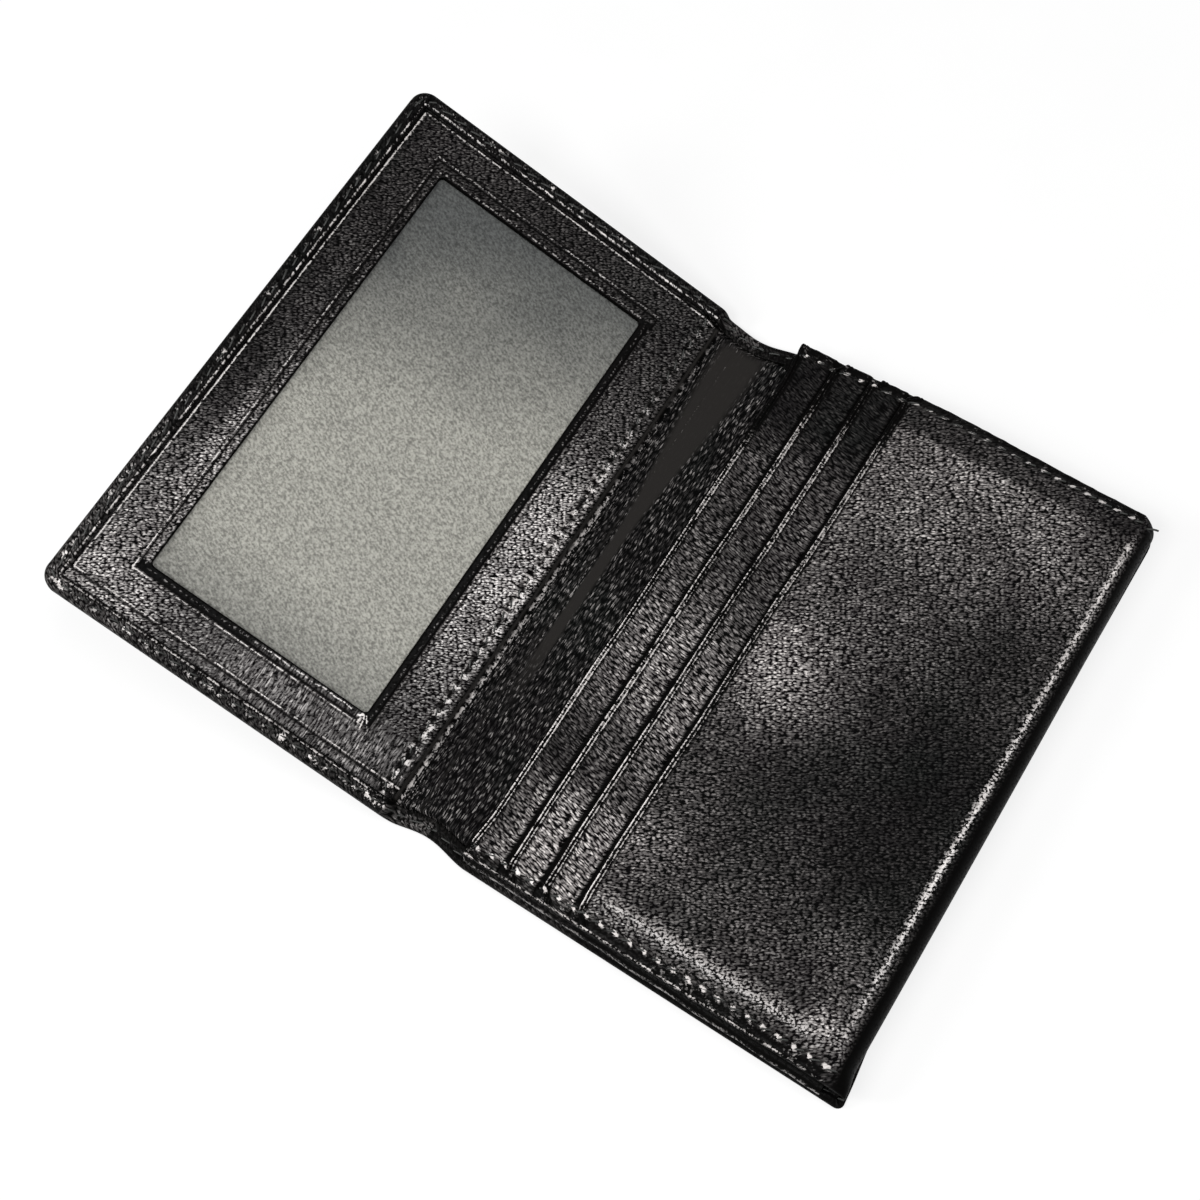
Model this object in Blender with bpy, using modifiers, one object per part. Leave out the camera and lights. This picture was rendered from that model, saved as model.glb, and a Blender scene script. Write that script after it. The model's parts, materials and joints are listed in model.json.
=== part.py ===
"""Leather card holder that lies open: a window wing, a spine and a gusseted pocket wing.

The frame's origin is on the underside, at the middle of the spine strip. X runs from the
window wing to the pocket wing, Y along the spine and Z up. Lengths are in metres.
"""

import math

import bmesh
import bpy
from mathutils import Vector

# Overall sizes of the opened holder
HOLDER_LENGTH = 0.1045
FRONT_WIDTH = 0.0669
FRONT_SKEW = 0.0009
BACK_WIDTH = 0.0684
BACK_SKEW = 0.0017
SPINE_WIDTH = 0.0136
REST_ANGLE = math.radians(24.2)

# Thickness of the leathers, linings, boards and film
COVER_LEATHER = 0.0008
HEM_LEATHER = 0.0006
INNER_LEATHER = 0.0007
SLOT_LEATHER = 0.0006
GUSSET_LEATHER = 0.0005
BOARD_THICKNESS = 0.0003
LINING_THICKNESS = 0.0002
FILM_THICKNESS = 0.00025

# Clearances between pieces
LAYER_GAP = 0.00025
FOLD_CLEARANCE = 0.00025
SIDE_GAP = 0.0003

# Turned edges of the cover
CORNER_RADIUS = 0.003
HEM_SIDE = 0.0029
HEM_OUTER = 0.0029
HEM_SETBACK = 0.0009
HEM_INNER_RADIUS = 0.0015
EDGE_ROUNDING = 0.0013
BACK_EDGE_ROUNDING = 0.0008
WAIST_DEPTH = 0.0012

# Window panel and film
PANEL_SETBACK = 0.0015
PANEL_HEM_WIDTH = 0.0055
PANEL_HEM_EXTRA = 0.0005
WINDOW_SPINE_MARGIN = 0.0113
WINDOW_WIDTH = 0.0414
WINDOW_LOWER_Y = -0.0402
WINDOW_UPPER_Y = 0.0412
WINDOW_RADIUS = 0.0008
WINDOW_EDGE_BEVEL = 0.00025
FILM_OVERLAP = 0.0045
FILM_CORNER_RADIUS = 0.0019

# Pocket stack on the back wing
POCKET_HEIGHT = 0.00425
STACK_SETBACK = 0.0016
STACK_LOWER_INSET = 0.0016
STACK_UPPER_INSET = 0.0001
STACK_UPPER_TAPER = 0.0010
SLOT_COUNT = 2
SLOT_STEP = 0.0067
SLOT_STRIP_WIDTH = 0.0150
SLOT_DEPTH = 0.0470
MOUTH_CREASE_OFFSET = 0.0009
MOUTH_CREASE_WIDTH = 0.0004
MOUTH_CREASE_DEPTH = 0.00012

# Front pocket: card imprint, pressed seam margins and rolled outer fold
IMPRINT_RISE = 0.0005
IMPRINT_SLOPE = 0.0034
IMPRINT_SIDE_MARGIN = 0.0042
IMPRINT_OUTER_MARGIN = 0.0012
SEAM_PRESS = 0.00018
SEAM_MARGIN = 0.0028
ROLL_DEPTH = 0.0040
ROLL_RISE = 0.0041
ROLL_PROUD = 0.0006
WALL_END_CLEARANCE = 0.0007

# Gussets between the pocket stack and the back cover
GUSSET_SETBACK = 0.0006
GUSSET_PROUD = 0.0007
GUSSET_LEAF = 0.0034
GUSSET_TIP_RADIUS = 0.0016
GUSSET_OUTER_CLEARANCE = 0.0012

# Small values of the modelling
CUT_OVERRUN = 0.002
WELD_DISTANCE = 0.00001
CORNER_STEPS = 6
ROUND_SIDES = 48
WAIST_SIDES = 128

# Heights above the table that the layers add up to
FOLD_HEIGHT = COVER_LEATHER + LAYER_GAP + INNER_LEATHER
BOARD_LOW = COVER_LEATHER + LAYER_GAP
LINING_LOW = BOARD_LOW + BOARD_THICKNESS + LAYER_GAP
LINING_TOP = LINING_LOW + LINING_THICKNESS
FILM_LOW = LINING_TOP + LAYER_GAP
PANEL_LOW = FILM_LOW + FILM_THICKNESS + LAYER_GAP
PANEL_TOP = PANEL_LOW + INNER_LEATHER
FRONT_HEM_LOW = PANEL_TOP + LAYER_GAP
FRONT_TOP = FRONT_HEM_LOW + HEM_LEATHER
BACK_HEM_LOW = LINING_TOP + LAYER_GAP
BACK_HEM_TOP = BACK_HEM_LOW + HEM_LEATHER
BACKING_LOW = LINING_TOP + POCKET_HEIGHT
SLOT_LAYER = SLOT_LEATHER + LAYER_GAP
FRONT_POCKET_LOW = BACKING_LOW + (SLOT_COUNT + 1) * SLOT_LAYER
FRONT_POCKET_TOP = FRONT_POCKET_LOW + INNER_LEATHER

# Places that the pieces share
HOLDER_HALF = HOLDER_LENGTH / 2
SPINE_HALF = SPINE_WIDTH / 2
BACK_OUTER = SPINE_HALF + BACK_WIDTH
STACK_MOUTH = SPINE_HALF + STACK_SETBACK
STACK_OUTER = BACK_OUTER + ROLL_PROUD
STACK_LOWER_Y = STACK_LOWER_INSET - HOLDER_HALF
STACK_UPPER_Y = HOLDER_HALF - STACK_UPPER_INSET
FRONT_POCKET_MOUTH = STACK_MOUTH + (SLOT_COUNT + 1) * SLOT_STEP
LAYER_OUTER = STACK_OUTER - ROLL_DEPTH - WALL_END_CLEARANCE - BACK_SKEW
WALL_LOW = COVER_LEATHER + LAYER_GAP
INNER_HALF = HOLDER_HALF - COVER_LEATHER - SIDE_GAP
NOSE_CLEAR_RADIUS = FOLD_HEIGHT + FOLD_CLEARANCE
LAYER_SETBACK = NOSE_CLEAR_RADIUS + FOLD_CLEARANCE

PARTS = "card_holder"
CUTTERS = "card_holder_cutters"


def clear_scene():
    """Remove every object, so that the script starts from nothing."""
    for thing in list(bpy.data.objects):
        bpy.data.objects.remove(thing, do_unlink=True)


def make_collection(name):
    """Return a new collection that is linked to the scene."""
    group = bpy.data.collections.new(name)
    bpy.context.scene.collection.children.link(group)
    return group


def make_pivot(name, place, parent=None):
    """Add an empty on a fold line."""
    pivot = bpy.data.objects.new(name, None)
    pivot.location = place
    pivot.parent = parent
    bpy.data.collections[PARTS].objects.link(pivot)
    return pivot


def make_material(name, colour, roughness, alpha=1.0):
    """Return a plain Principled material."""
    material = bpy.data.materials.new(name)
    material.use_nodes = True
    shader = material.node_tree.nodes["Principled BSDF"]
    shader.inputs["Base Color"].default_value = (*colour, 1.0)
    shader.inputs["Roughness"].default_value = roughness
    shader.inputs["Metallic"].default_value = 0.0
    shader.inputs["Alpha"].default_value = alpha
    return material


def rounded_corner(before, corner, after, radius):
    """Return the arc that rounds one corner of an outline."""
    to_before = (before - corner).normalized()
    to_after = (after - corner).normalized()
    half_angle = to_before.angle(to_after) / 2
    middle = (to_before + to_after).normalized()
    centre = corner + middle * (radius / math.sin(half_angle))
    reach = radius / math.tan(half_angle)
    start = corner + to_before * reach - centre
    end = corner + to_after * reach - centre
    first = math.atan2(start.y, start.x)
    sweep = math.atan2(start.cross(end), start.dot(end))
    angles = [first + sweep * step / CORNER_STEPS for step in range(CORNER_STEPS + 1)]
    return [centre + Vector((math.cos(a), math.sin(a))) * radius for a in angles]


def rounded_outline(corners):
    """Turn (x, y, radius) corners into the points of a closed outline."""
    places = [Vector((x, y)) for x, y, radius in corners]
    points = []
    for index, (x, y, radius) in enumerate(corners):
        before = places[index - 1]
        after = places[(index + 1) % len(places)]
        if radius > 0:
            points += rounded_corner(before, places[index], after, radius)
        else:
            points.append(places[index])
    return points


def arc_points(centre, radius, start_degrees, end_degrees, steps):
    """Return the points of an arc, with both of its ends."""
    points = []
    for step in range(steps + 1):
        angle = math.radians(start_degrees + (end_degrees - start_degrees) * step / steps)
        points.append(Vector((centre[0] + radius * math.cos(angle),
                              centre[1] + radius * math.sin(angle))))
    return points


def curve_solid(name, outlines, thickness):
    """Extrude closed outlines, holes included, into one welded mesh object."""
    curve = bpy.data.curves.new(name + "_outline", "CURVE")
    curve.dimensions = "2D"
    curve.fill_mode = "BOTH"
    curve.extrude = thickness / 2
    for outline in outlines:
        spline = curve.splines.new("POLY")
        spline.points.add(len(outline) - 1)
        for point, place in zip(spline.points, outline):
            point.co = (place[0], place[1], 0, 1)
        spline.use_cyclic_u = True
    source = bpy.data.objects.new(name + "_outline", curve)
    bpy.data.collections[CUTTERS].objects.link(source)
    bpy.context.view_layer.update()
    evaluated = source.evaluated_get(bpy.context.evaluated_depsgraph_get())
    mesh = bpy.data.meshes.new_from_object(evaluated)
    mesh.name = name
    solid = bpy.data.objects.new(name, mesh)
    solid.matrix_world = source.matrix_world
    bpy.data.objects.remove(source, do_unlink=True)
    work = bmesh.new()
    work.from_mesh(mesh)
    bmesh.ops.remove_doubles(work, verts=work.verts, dist=WELD_DISTANCE)
    bmesh.ops.recalc_face_normals(work, faces=work.faces)
    work.to_mesh(mesh)
    work.free()
    return solid


def plate(name, outlines, low, high):
    """A flat piece that lies between two heights."""
    solid = curve_solid(name, outlines, high - low)
    solid.location.z = (low + high) / 2
    return solid


def strip_along_spine(name, profile, half_length):
    """Extrude an (x, z) profile along the spine."""
    solid = curve_solid(name, [profile], 2 * half_length)
    solid.rotation_euler.x = math.radians(90)
    return solid


def round_bar(name, radius, half_length, place, along_spine, sides):
    """A cylinder that lies along the spine, or stands upright."""
    bpy.ops.mesh.primitive_cylinder_add(vertices=sides, radius=radius, depth=2 * half_length)
    bar = bpy.context.object
    bar.name = name
    bar.location = place
    if along_spine:
        bar.rotation_euler.x = math.radians(90)
    for group in list(bar.users_collection):
        group.objects.unlink(bar)
    return bar


def finish_part(part, material, parent, smooth=False):
    """File a finished piece, with its material, under its pivot."""
    bpy.data.collections[PARTS].objects.link(part)
    part.parent = parent
    part.data.materials.clear()
    part.data.materials.append(material)
    if smooth:
        part.data.shade_smooth()
        part.data.set_sharp_from_angle(angle=math.radians(40))
    return part


def finish_cutter(cutter, parent):
    """File a cutting shape, hidden from renders."""
    bpy.data.collections[CUTTERS].objects.link(cutter)
    cutter.parent = parent
    cutter.hide_render = True
    cutter.display_type = "WIRE"
    return cutter


def cut(part, cutter, operation="DIFFERENCE"):
    """Cut a piece with a cutter, or join the cutter's shape to it."""
    modifier = part.modifiers.new(cutter.name, "BOOLEAN")
    modifier.operation = operation
    modifier.object = cutter
    modifier.solver = "EXACT"


def round_edges(part, width, segments=2):
    """Round every edge that turns by more than 40 degrees."""
    modifier = part.modifiers.new("rounded_edges", "BEVEL")
    modifier.width = width
    modifier.segments = segments
    modifier.limit_method = "ANGLE"
    modifier.angle_limit = math.radians(40)


def wing_outline(fold_x, outer_x, half_length, radius, skew=0.0):
    """A wing's outline: square at the fold side, round at its two outer corners.

    The skew is how much less far the upper outer corner reaches than the lower one.
    """
    upper_x = outer_x - math.copysign(skew, outer_x)
    corners = [(fold_x, -half_length, 0), (outer_x, -half_length, radius),
               (upper_x, half_length, radius), (fold_x, half_length, 0)]
    return rounded_outline(corners)


def outer_shift(y):
    """How much nearer to the spine the pocket wing's outer edge lies at a place along it."""
    return BACK_SKEW * (y + HOLDER_HALF) / HOLDER_LENGTH


# Front wing, modelled flat about its fold line: X is negative towards its outer edge
def front_level(height):
    """Turn a height above the wing's outer face into one about its fold line."""
    return height - FOLD_HEIGHT


def make_front_cover(pivot, leather):
    """Cover leather of the window wing, turned over on three sides into a hem."""
    outline = wing_outline(CUT_OVERRUN, -FRONT_WIDTH, HOLDER_HALF, CORNER_RADIUS, FRONT_SKEW)
    cover = plate("front_cover", [outline], front_level(0), front_level(FRONT_TOP))
    round_edges(cover, EDGE_ROUNDING, 3)
    inner_radius = CORNER_RADIUS - COVER_LEATHER
    bed_outline = wing_outline(2 * CUT_OVERRUN, COVER_LEATHER - FRONT_WIDTH,
                               HOLDER_HALF - COVER_LEATHER, inner_radius, FRONT_SKEW)
    bed = plate("front_cover_bed", [bed_outline],
                front_level(COVER_LEATHER), front_level(FRONT_HEM_LOW))
    mouth_outline = wing_outline(2 * CUT_OVERRUN, HEM_OUTER - FRONT_WIDTH,
                                 HOLDER_HALF - HEM_SIDE, HEM_INNER_RADIUS, FRONT_SKEW)
    mouth = plate("front_cover_hem_opening", [mouth_outline],
                  front_level(COVER_LEATHER + LAYER_GAP), front_level(FRONT_TOP + CUT_OVERRUN))
    end_outline = wing_outline(-HEM_SETBACK, 2 * CUT_OVERRUN, HOLDER_HALF + CUT_OVERRUN, 0)
    end = plate("front_cover_end", [end_outline],
                front_level(-CUT_OVERRUN), front_level(FRONT_TOP + CUT_OVERRUN))
    nose = round_bar("front_cover_nose", NOSE_CLEAR_RADIUS, HOLDER_HALF + CUT_OVERRUN,
                     (0, 0, 0), True, ROUND_SIDES)
    for cutter in (bed, mouth, end, nose):
        cut(cover, finish_cutter(cutter, pivot))
    return finish_part(cover, leather, pivot, smooth=True)


def make_front_board(pivot, board):
    """Thin stiffening board between the window wing's leather and its lining."""
    outline = wing_outline(-LAYER_SETBACK, COVER_LEATHER + SIDE_GAP - FRONT_WIDTH,
                           INNER_HALF, CORNER_RADIUS - COVER_LEATHER, FRONT_SKEW)
    low = front_level(BOARD_LOW)
    part = plate("front_board", [outline], low, low + BOARD_THICKNESS)
    return finish_part(part, board, pivot)


def make_id_pocket_lining(pivot, fabric):
    """Fabric back wall of the ID pocket."""
    outline = wing_outline(-LAYER_SETBACK, COVER_LEATHER + SIDE_GAP - FRONT_WIDTH,
                           INNER_HALF, CORNER_RADIUS - COVER_LEATHER, FRONT_SKEW)
    low = front_level(LINING_LOW)
    part = plate("id_pocket_lining", [outline], low, low + LINING_THICKNESS)
    return finish_part(part, fabric, pivot)


def window_corners(margin, radius):
    """The window's outline, grown by a margin."""
    spine_x = -PANEL_SETBACK - WINDOW_SPINE_MARGIN + margin
    outer_x = -PANEL_SETBACK - WINDOW_SPINE_MARGIN - WINDOW_WIDTH - margin
    low_y = WINDOW_LOWER_Y - margin
    high_y = WINDOW_UPPER_Y + margin
    return rounded_outline([(spine_x, low_y, radius), (outer_x, low_y, radius),
                            (outer_x, high_y, radius), (spine_x, high_y, radius)])


def make_window_film(pivot, film):
    """Frosted film behind the window, wider than the window all round."""
    low = front_level(FILM_LOW)
    outline = window_corners(FILM_OVERLAP, FILM_CORNER_RADIUS)
    part = plate("id_window_film", [outline], low, low + FILM_THICKNESS)
    return finish_part(part, film, pivot)


def make_window_panel(pivot, leather):
    """Inner leather panel with the window, its spine edge folded under into a hem."""
    edge_x = COVER_LEATHER + SIDE_GAP - FRONT_WIDTH
    outline = wing_outline(-PANEL_SETBACK - INNER_LEATHER, edge_x,
                           INNER_HALF, CORNER_RADIUS - COVER_LEATHER, FRONT_SKEW)
    low = front_level(PANEL_LOW)
    high = low + INNER_LEATHER
    part = plate("id_window_panel", [outline, window_corners(0, WINDOW_RADIUS)], low, high)
    round_edges(part, WINDOW_EDGE_BEVEL)
    hem_low = low - PANEL_HEM_EXTRA
    half_hem = (high - hem_low) / 2
    fold = arc_points((-PANEL_SETBACK - half_hem, hem_low + half_hem), half_hem,
                      -90, 90, 2 * CORNER_STEPS)
    inner_x = -PANEL_SETBACK - PANEL_HEM_WIDTH
    fold += [Vector((inner_x, high)), Vector((inner_x, hem_low))]
    hem = strip_along_spine("id_window_panel_hem", fold, INNER_HALF)
    cut(part, finish_cutter(hem, pivot), "UNION")
    return finish_part(part, leather, pivot, smooth=True)


# Spine strip, modelled about the back fold line, with the strip at negative X
def spine_section(wall, height=0.0):
    """Round-ended section of the spine strip, a wall's thickness inside its skin."""
    radius = FOLD_HEIGHT - wall
    section = arc_points((0, 0), radius, 0, -90, CORNER_STEPS)
    section += arc_points((-SPINE_WIDTH, 0), radius, -90, -180, CORNER_STEPS)
    if height > 0:
        section.append(Vector((-SPINE_WIDTH - radius, height)))
        section.append(Vector((radius, height)))
    return section


def make_spine_cover(pivot, leather):
    """Cover leather of the spine, waisted, with its two ends turned over the lining."""
    cover = strip_along_spine("spine_cover", spine_section(0), HOLDER_HALF)
    chord = SPINE_HALF + FOLD_HEIGHT
    waist_radius = (chord ** 2 + WAIST_DEPTH ** 2) / (2 * WAIST_DEPTH)
    for side, word in ((-1, "lower"), (1, "upper")):
        centre_y = side * (HOLDER_HALF - WAIST_DEPTH + waist_radius)
        waist = round_bar("spine_waist_" + word, waist_radius, FOLD_HEIGHT + CUT_OVERRUN,
                          (-SPINE_HALF, centre_y, -FOLD_HEIGHT / 2), False, WAIST_SIDES)
        cut(cover, finish_cutter(waist, pivot))
    tray = strip_along_spine("spine_tray", spine_section(COVER_LEATHER, CUT_OVERRUN),
                             HOLDER_HALF - HEM_SIDE)
    cut(cover, finish_cutter(tray, pivot))
    return finish_part(cover, leather, pivot, smooth=True)


def make_spine_lining(pivot, leather):
    """Grained leather strip that lies in the spine between its turned ends."""
    section = spine_section(COVER_LEATHER + LAYER_GAP)
    part = strip_along_spine("spine_lining", section, HOLDER_HALF - HEM_SIDE - SIDE_GAP)
    return finish_part(part, leather, pivot, smooth=True)


# Back wing, which lies flat on the table
def wall_room_outline(far_x):
    """Room in the turned edges for the stack's outer wall."""
    near_x = BACK_OUTER - INNER_LEATHER - SIDE_GAP - WALL_END_CLEARANCE
    low_y = STACK_LOWER_Y - SIDE_GAP
    high_y = STACK_UPPER_Y - STACK_UPPER_TAPER + SIDE_GAP
    return rounded_outline([(near_x - outer_shift(low_y), low_y, 0), (far_x, low_y, 0),
                            (far_x, high_y, 0), (near_x - outer_shift(high_y), high_y, 0)])


def make_back_cover(root, leather):
    """Cover leather of the pocket wing, turned over along its two long sides."""
    outline = wing_outline(SPINE_HALF - CUT_OVERRUN, BACK_OUTER, HOLDER_HALF, CORNER_RADIUS,
                           BACK_SKEW)
    cover = plate("back_cover", [outline], 0, BACK_HEM_TOP)
    round_edges(cover, BACK_EDGE_ROUNDING, 3)
    far_x = BACK_OUTER + CUT_OVERRUN
    near_x = SPINE_HALF - 2 * CUT_OVERRUN
    bed = plate("back_cover_bed", [wing_outline(near_x, far_x, HOLDER_HALF - COVER_LEATHER, 0)],
                COVER_LEATHER, BACK_HEM_LOW)
    mouth = plate("back_cover_hem_opening", [wing_outline(near_x, far_x, HOLDER_HALF - HEM_SIDE, 0)],
                  BOARD_LOW, BACK_HEM_TOP + CUT_OVERRUN)
    wall_room = plate("back_cover_wall_room", [wall_room_outline(far_x)],
                      COVER_LEATHER, BACK_HEM_TOP + CUT_OVERRUN)
    end = plate("back_cover_end",
                [wing_outline(near_x, SPINE_HALF + HEM_SETBACK, HOLDER_HALF + CUT_OVERRUN, 0)],
                -CUT_OVERRUN, BACK_HEM_TOP + CUT_OVERRUN)
    nose = round_bar("back_cover_nose", NOSE_CLEAR_RADIUS, HOLDER_HALF + CUT_OVERRUN,
                     (SPINE_HALF, 0, FOLD_HEIGHT), True, ROUND_SIDES)
    for cutter in (bed, mouth, wall_room, end, nose):
        cut(cover, finish_cutter(cutter, root))
    return finish_part(cover, leather, root, smooth=True)


def back_layer_outline():
    """Outline of the board and the lining that lie on the back cover."""
    outer_x = BACK_OUTER - INNER_LEATHER - SIDE_GAP - WALL_END_CLEARANCE
    return wing_outline(SPINE_HALF + LAYER_SETBACK, outer_x, INNER_HALF,
                        CORNER_RADIUS - COVER_LEATHER, BACK_SKEW)


def make_back_board(root, board):
    """Thin stiffening board of the pocket wing."""
    part = plate("back_board", [back_layer_outline()], BOARD_LOW, BOARD_LOW + BOARD_THICKNESS)
    return finish_part(part, board, root)


def make_back_lining(root, fabric):
    """Fabric floor of the main pocket."""
    part = plate("main_pocket_lining", [back_layer_outline()], LINING_LOW, LINING_TOP)
    return finish_part(part, fabric, root)


def make_gusset(root, leather, side, name):
    """Strip folded outwards between the back cover's hem and the pocket stack."""
    low = BACK_HEM_TOP + LAYER_GAP
    high = BACKING_LOW - LAYER_GAP
    outer_radius = (high - low) / 2
    middle = (low + high) / 2
    crest_y = GUSSET_PROUD - STACK_LOWER_Y
    fold_y = crest_y - outer_radius
    leaf_y = fold_y - GUSSET_LEAF
    inner_radius = outer_radius - GUSSET_LEATHER
    outside = arc_points((fold_y, middle), outer_radius, -90, 90, 2 * CORNER_STEPS)
    inside = arc_points((fold_y, middle), inner_radius, 90, -90, 2 * CORNER_STEPS)
    section = [Vector((leaf_y, low))] + outside + [Vector((leaf_y, high))]
    section += [Vector((leaf_y, high - GUSSET_LEATHER))] + inside
    section += [Vector((leaf_y, low + GUSSET_LEATHER))]
    start_x = SPINE_HALF + GUSSET_SETBACK
    end_x = BACK_OUTER - INNER_LEATHER - GUSSET_OUTER_CLEARANCE - outer_shift(side * crest_y)
    gusset = curve_solid(name, [[Vector((side * p.x, p.y)) for p in section]], end_x - start_x)
    gusset.rotation_euler = (math.radians(90), 0, math.radians(90))
    gusset.location.x = (start_x + end_x) / 2
    centre = (start_x + GUSSET_TIP_RADIUS, crest_y - GUSSET_TIP_RADIUS)
    tip = [Vector((start_x - CUT_OVERRUN, crest_y + CUT_OVERRUN)),
           Vector((centre[0], crest_y + CUT_OVERRUN))]
    tip += arc_points(centre, GUSSET_TIP_RADIUS, 90, 180, CORNER_STEPS)
    tip.append(Vector((start_x - CUT_OVERRUN, centre[1])))
    tip = [Vector((p.x, side * p.y)) for p in tip]
    rounding = plate(name + "_tip", [tip], low - CUT_OVERRUN, high + CUT_OVERRUN)
    cut(gusset, finish_cutter(rounding, root))
    return finish_part(gusset, leather, root, smooth=True)


# Pocket stack, modelled about the foot of its rolled outer fold
FOOT_X = BACK_OUTER - outer_shift(0)


def stack_place(x, z):
    """Turn a place in the holder's frame into one about the stack's pivot."""
    return (x - FOOT_X, z - WALL_LOW)


def upper_edge(x):
    """Where the stack's slightly slanted upper edge lies at a distance from the spine."""
    share = (x - STACK_MOUTH) / (STACK_OUTER - STACK_MOUTH)
    return STACK_UPPER_Y - STACK_UPPER_TAPER * share


def layer_outline(near_x, far_x):
    """Outline of a stack layer between the lower edge and the slanted upper edge."""
    return rounded_outline([(near_x - FOOT_X, STACK_LOWER_Y, 0), (far_x - FOOT_X, STACK_LOWER_Y, 0),
                            (far_x - FOOT_X, upper_edge(far_x), 0),
                            (near_x - FOOT_X, upper_edge(near_x), 0)])


def mouth_strip(name, start_x, end_x, low, pivot, leather):
    """A flat leather layer whose folded mouth edge is round and has a pressed crease."""
    near_x, low_z = stack_place(start_x, low)
    far_x = end_x - FOOT_X
    high_z = low_z + SLOT_LEATHER
    radius = SLOT_LEATHER / 2
    mouth = arc_points((near_x + radius, low_z + radius), radius, 270, 90, CORNER_STEPS)
    crease_x = near_x + MOUTH_CREASE_OFFSET
    half_crease = MOUTH_CREASE_WIDTH / 2
    crease = [Vector((crease_x - half_crease, high_z)),
              Vector((crease_x, high_z - MOUTH_CREASE_DEPTH)),
              Vector((crease_x + half_crease, high_z))]
    profile = mouth + crease + [Vector((far_x, high_z)), Vector((far_x, low_z))]
    strip = strip_along_spine(name, profile, HOLDER_HALF + CUT_OVERRUN)
    room = plate(name + "_room", [layer_outline(start_x - CUT_OVERRUN, end_x + CUT_OVERRUN)],
                 low_z - CUT_OVERRUN, high_z + CUT_OVERRUN)
    cut(strip, finish_cutter(room, pivot), "INTERSECT")
    return finish_part(strip, leather, pivot, smooth=True)


def make_slot(number, pivot, leather, fabric):
    """One card slot: a leather strip with a fabric skirt that hangs from its lower edge."""
    low = BACKING_LOW + number * SLOT_LAYER
    mouth_x = STACK_MOUTH + number * SLOT_STEP
    strip_end = mouth_x + SLOT_STRIP_WIDTH
    mouth_strip("slot_{}_panel".format(number), mouth_x, strip_end, low, pivot, leather)
    skirt_end = min(mouth_x + SLOT_DEPTH, LAYER_OUTER)
    low_z = low - WALL_LOW
    skirt = plate("slot_{}_skirt".format(number),
                  [layer_outline(strip_end + SIDE_GAP, skirt_end)],
                  low_z, low_z + LINING_THICKNESS)
    return finish_part(skirt, fabric, pivot)


def smooth_step(value):
    """Ease from 0 to 1, flat at both ends."""
    clamped = min(max(value, 0.0), 1.0)
    return clamped * clamped * (3 - 2 * clamped)


def imprint_height(from_outer, from_side):
    """How far the cards inside lift the front pocket's leather, by the distances to its edges."""
    side = smooth_step((from_side - IMPRINT_SIDE_MARGIN) / IMPRINT_SLOPE)
    outer = smooth_step((from_outer - IMPRINT_OUTER_MARGIN) / IMPRINT_SLOPE)
    pressed = smooth_step(1 - from_side / SEAM_MARGIN)
    return IMPRINT_RISE * side * outer - SEAM_PRESS * pressed


def pocket_columns():
    """Section of the front pocket's outside: flat, round the roll and down to its foot."""
    flat_shares = (0.0, 0.02, 0.045, 0.12, 0.26, 0.42, 0.58, 0.74, 0.85, 0.905, 0.95, 1.0)
    roll_x = STACK_OUTER - ROLL_DEPTH
    flat_length = roll_x - FRONT_POCKET_MOUTH
    columns = [(FRONT_POCKET_MOUTH + flat_length * share, FRONT_POCKET_TOP, 1.0)
               for share in flat_shares]
    quarter_shares = (0.75, 0.5, 0.25, 0.0)
    for share in quarter_shares:
        angle = math.radians(90) * share
        drop = ROLL_RISE * (1 - math.sin(angle))
        columns.append((roll_x + ROLL_DEPTH * math.cos(angle), FRONT_POCKET_TOP - drop, 0.0))
    wall_top = FRONT_POCKET_TOP - ROLL_RISE
    wall_shares = (0.35, 0.7, 1.0)
    for share in wall_shares:
        drop = (wall_top - WALL_LOW) * share
        columns.append((STACK_OUTER - ROLL_PROUD * share * share, wall_top - drop, 0.0))
    return columns


def pocket_rows():
    """Shares of the way from the lower to the upper edge where the cage has its rows."""
    half = (STACK_UPPER_Y - STACK_LOWER_Y) / 2
    ridge = half - IMPRINT_SIDE_MARGIN
    middle_shares = (0.0, 0.3, 0.6)
    slope_shares = (3.0, 1.0, 0.5, 0.0)
    seam_shares = (1.0, 0.33, 0.0)
    places = [half * share for share in middle_shares]
    places += [ridge - IMPRINT_SLOPE * share for share in slope_shares]
    places += [half - SEAM_MARGIN * share for share in seam_shares]
    upper_shares = [(half + place) / (2 * half) for place in places]
    lower_shares = [1 - share for share in reversed(upper_shares[1:])]
    return lower_shares + upper_shares


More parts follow.
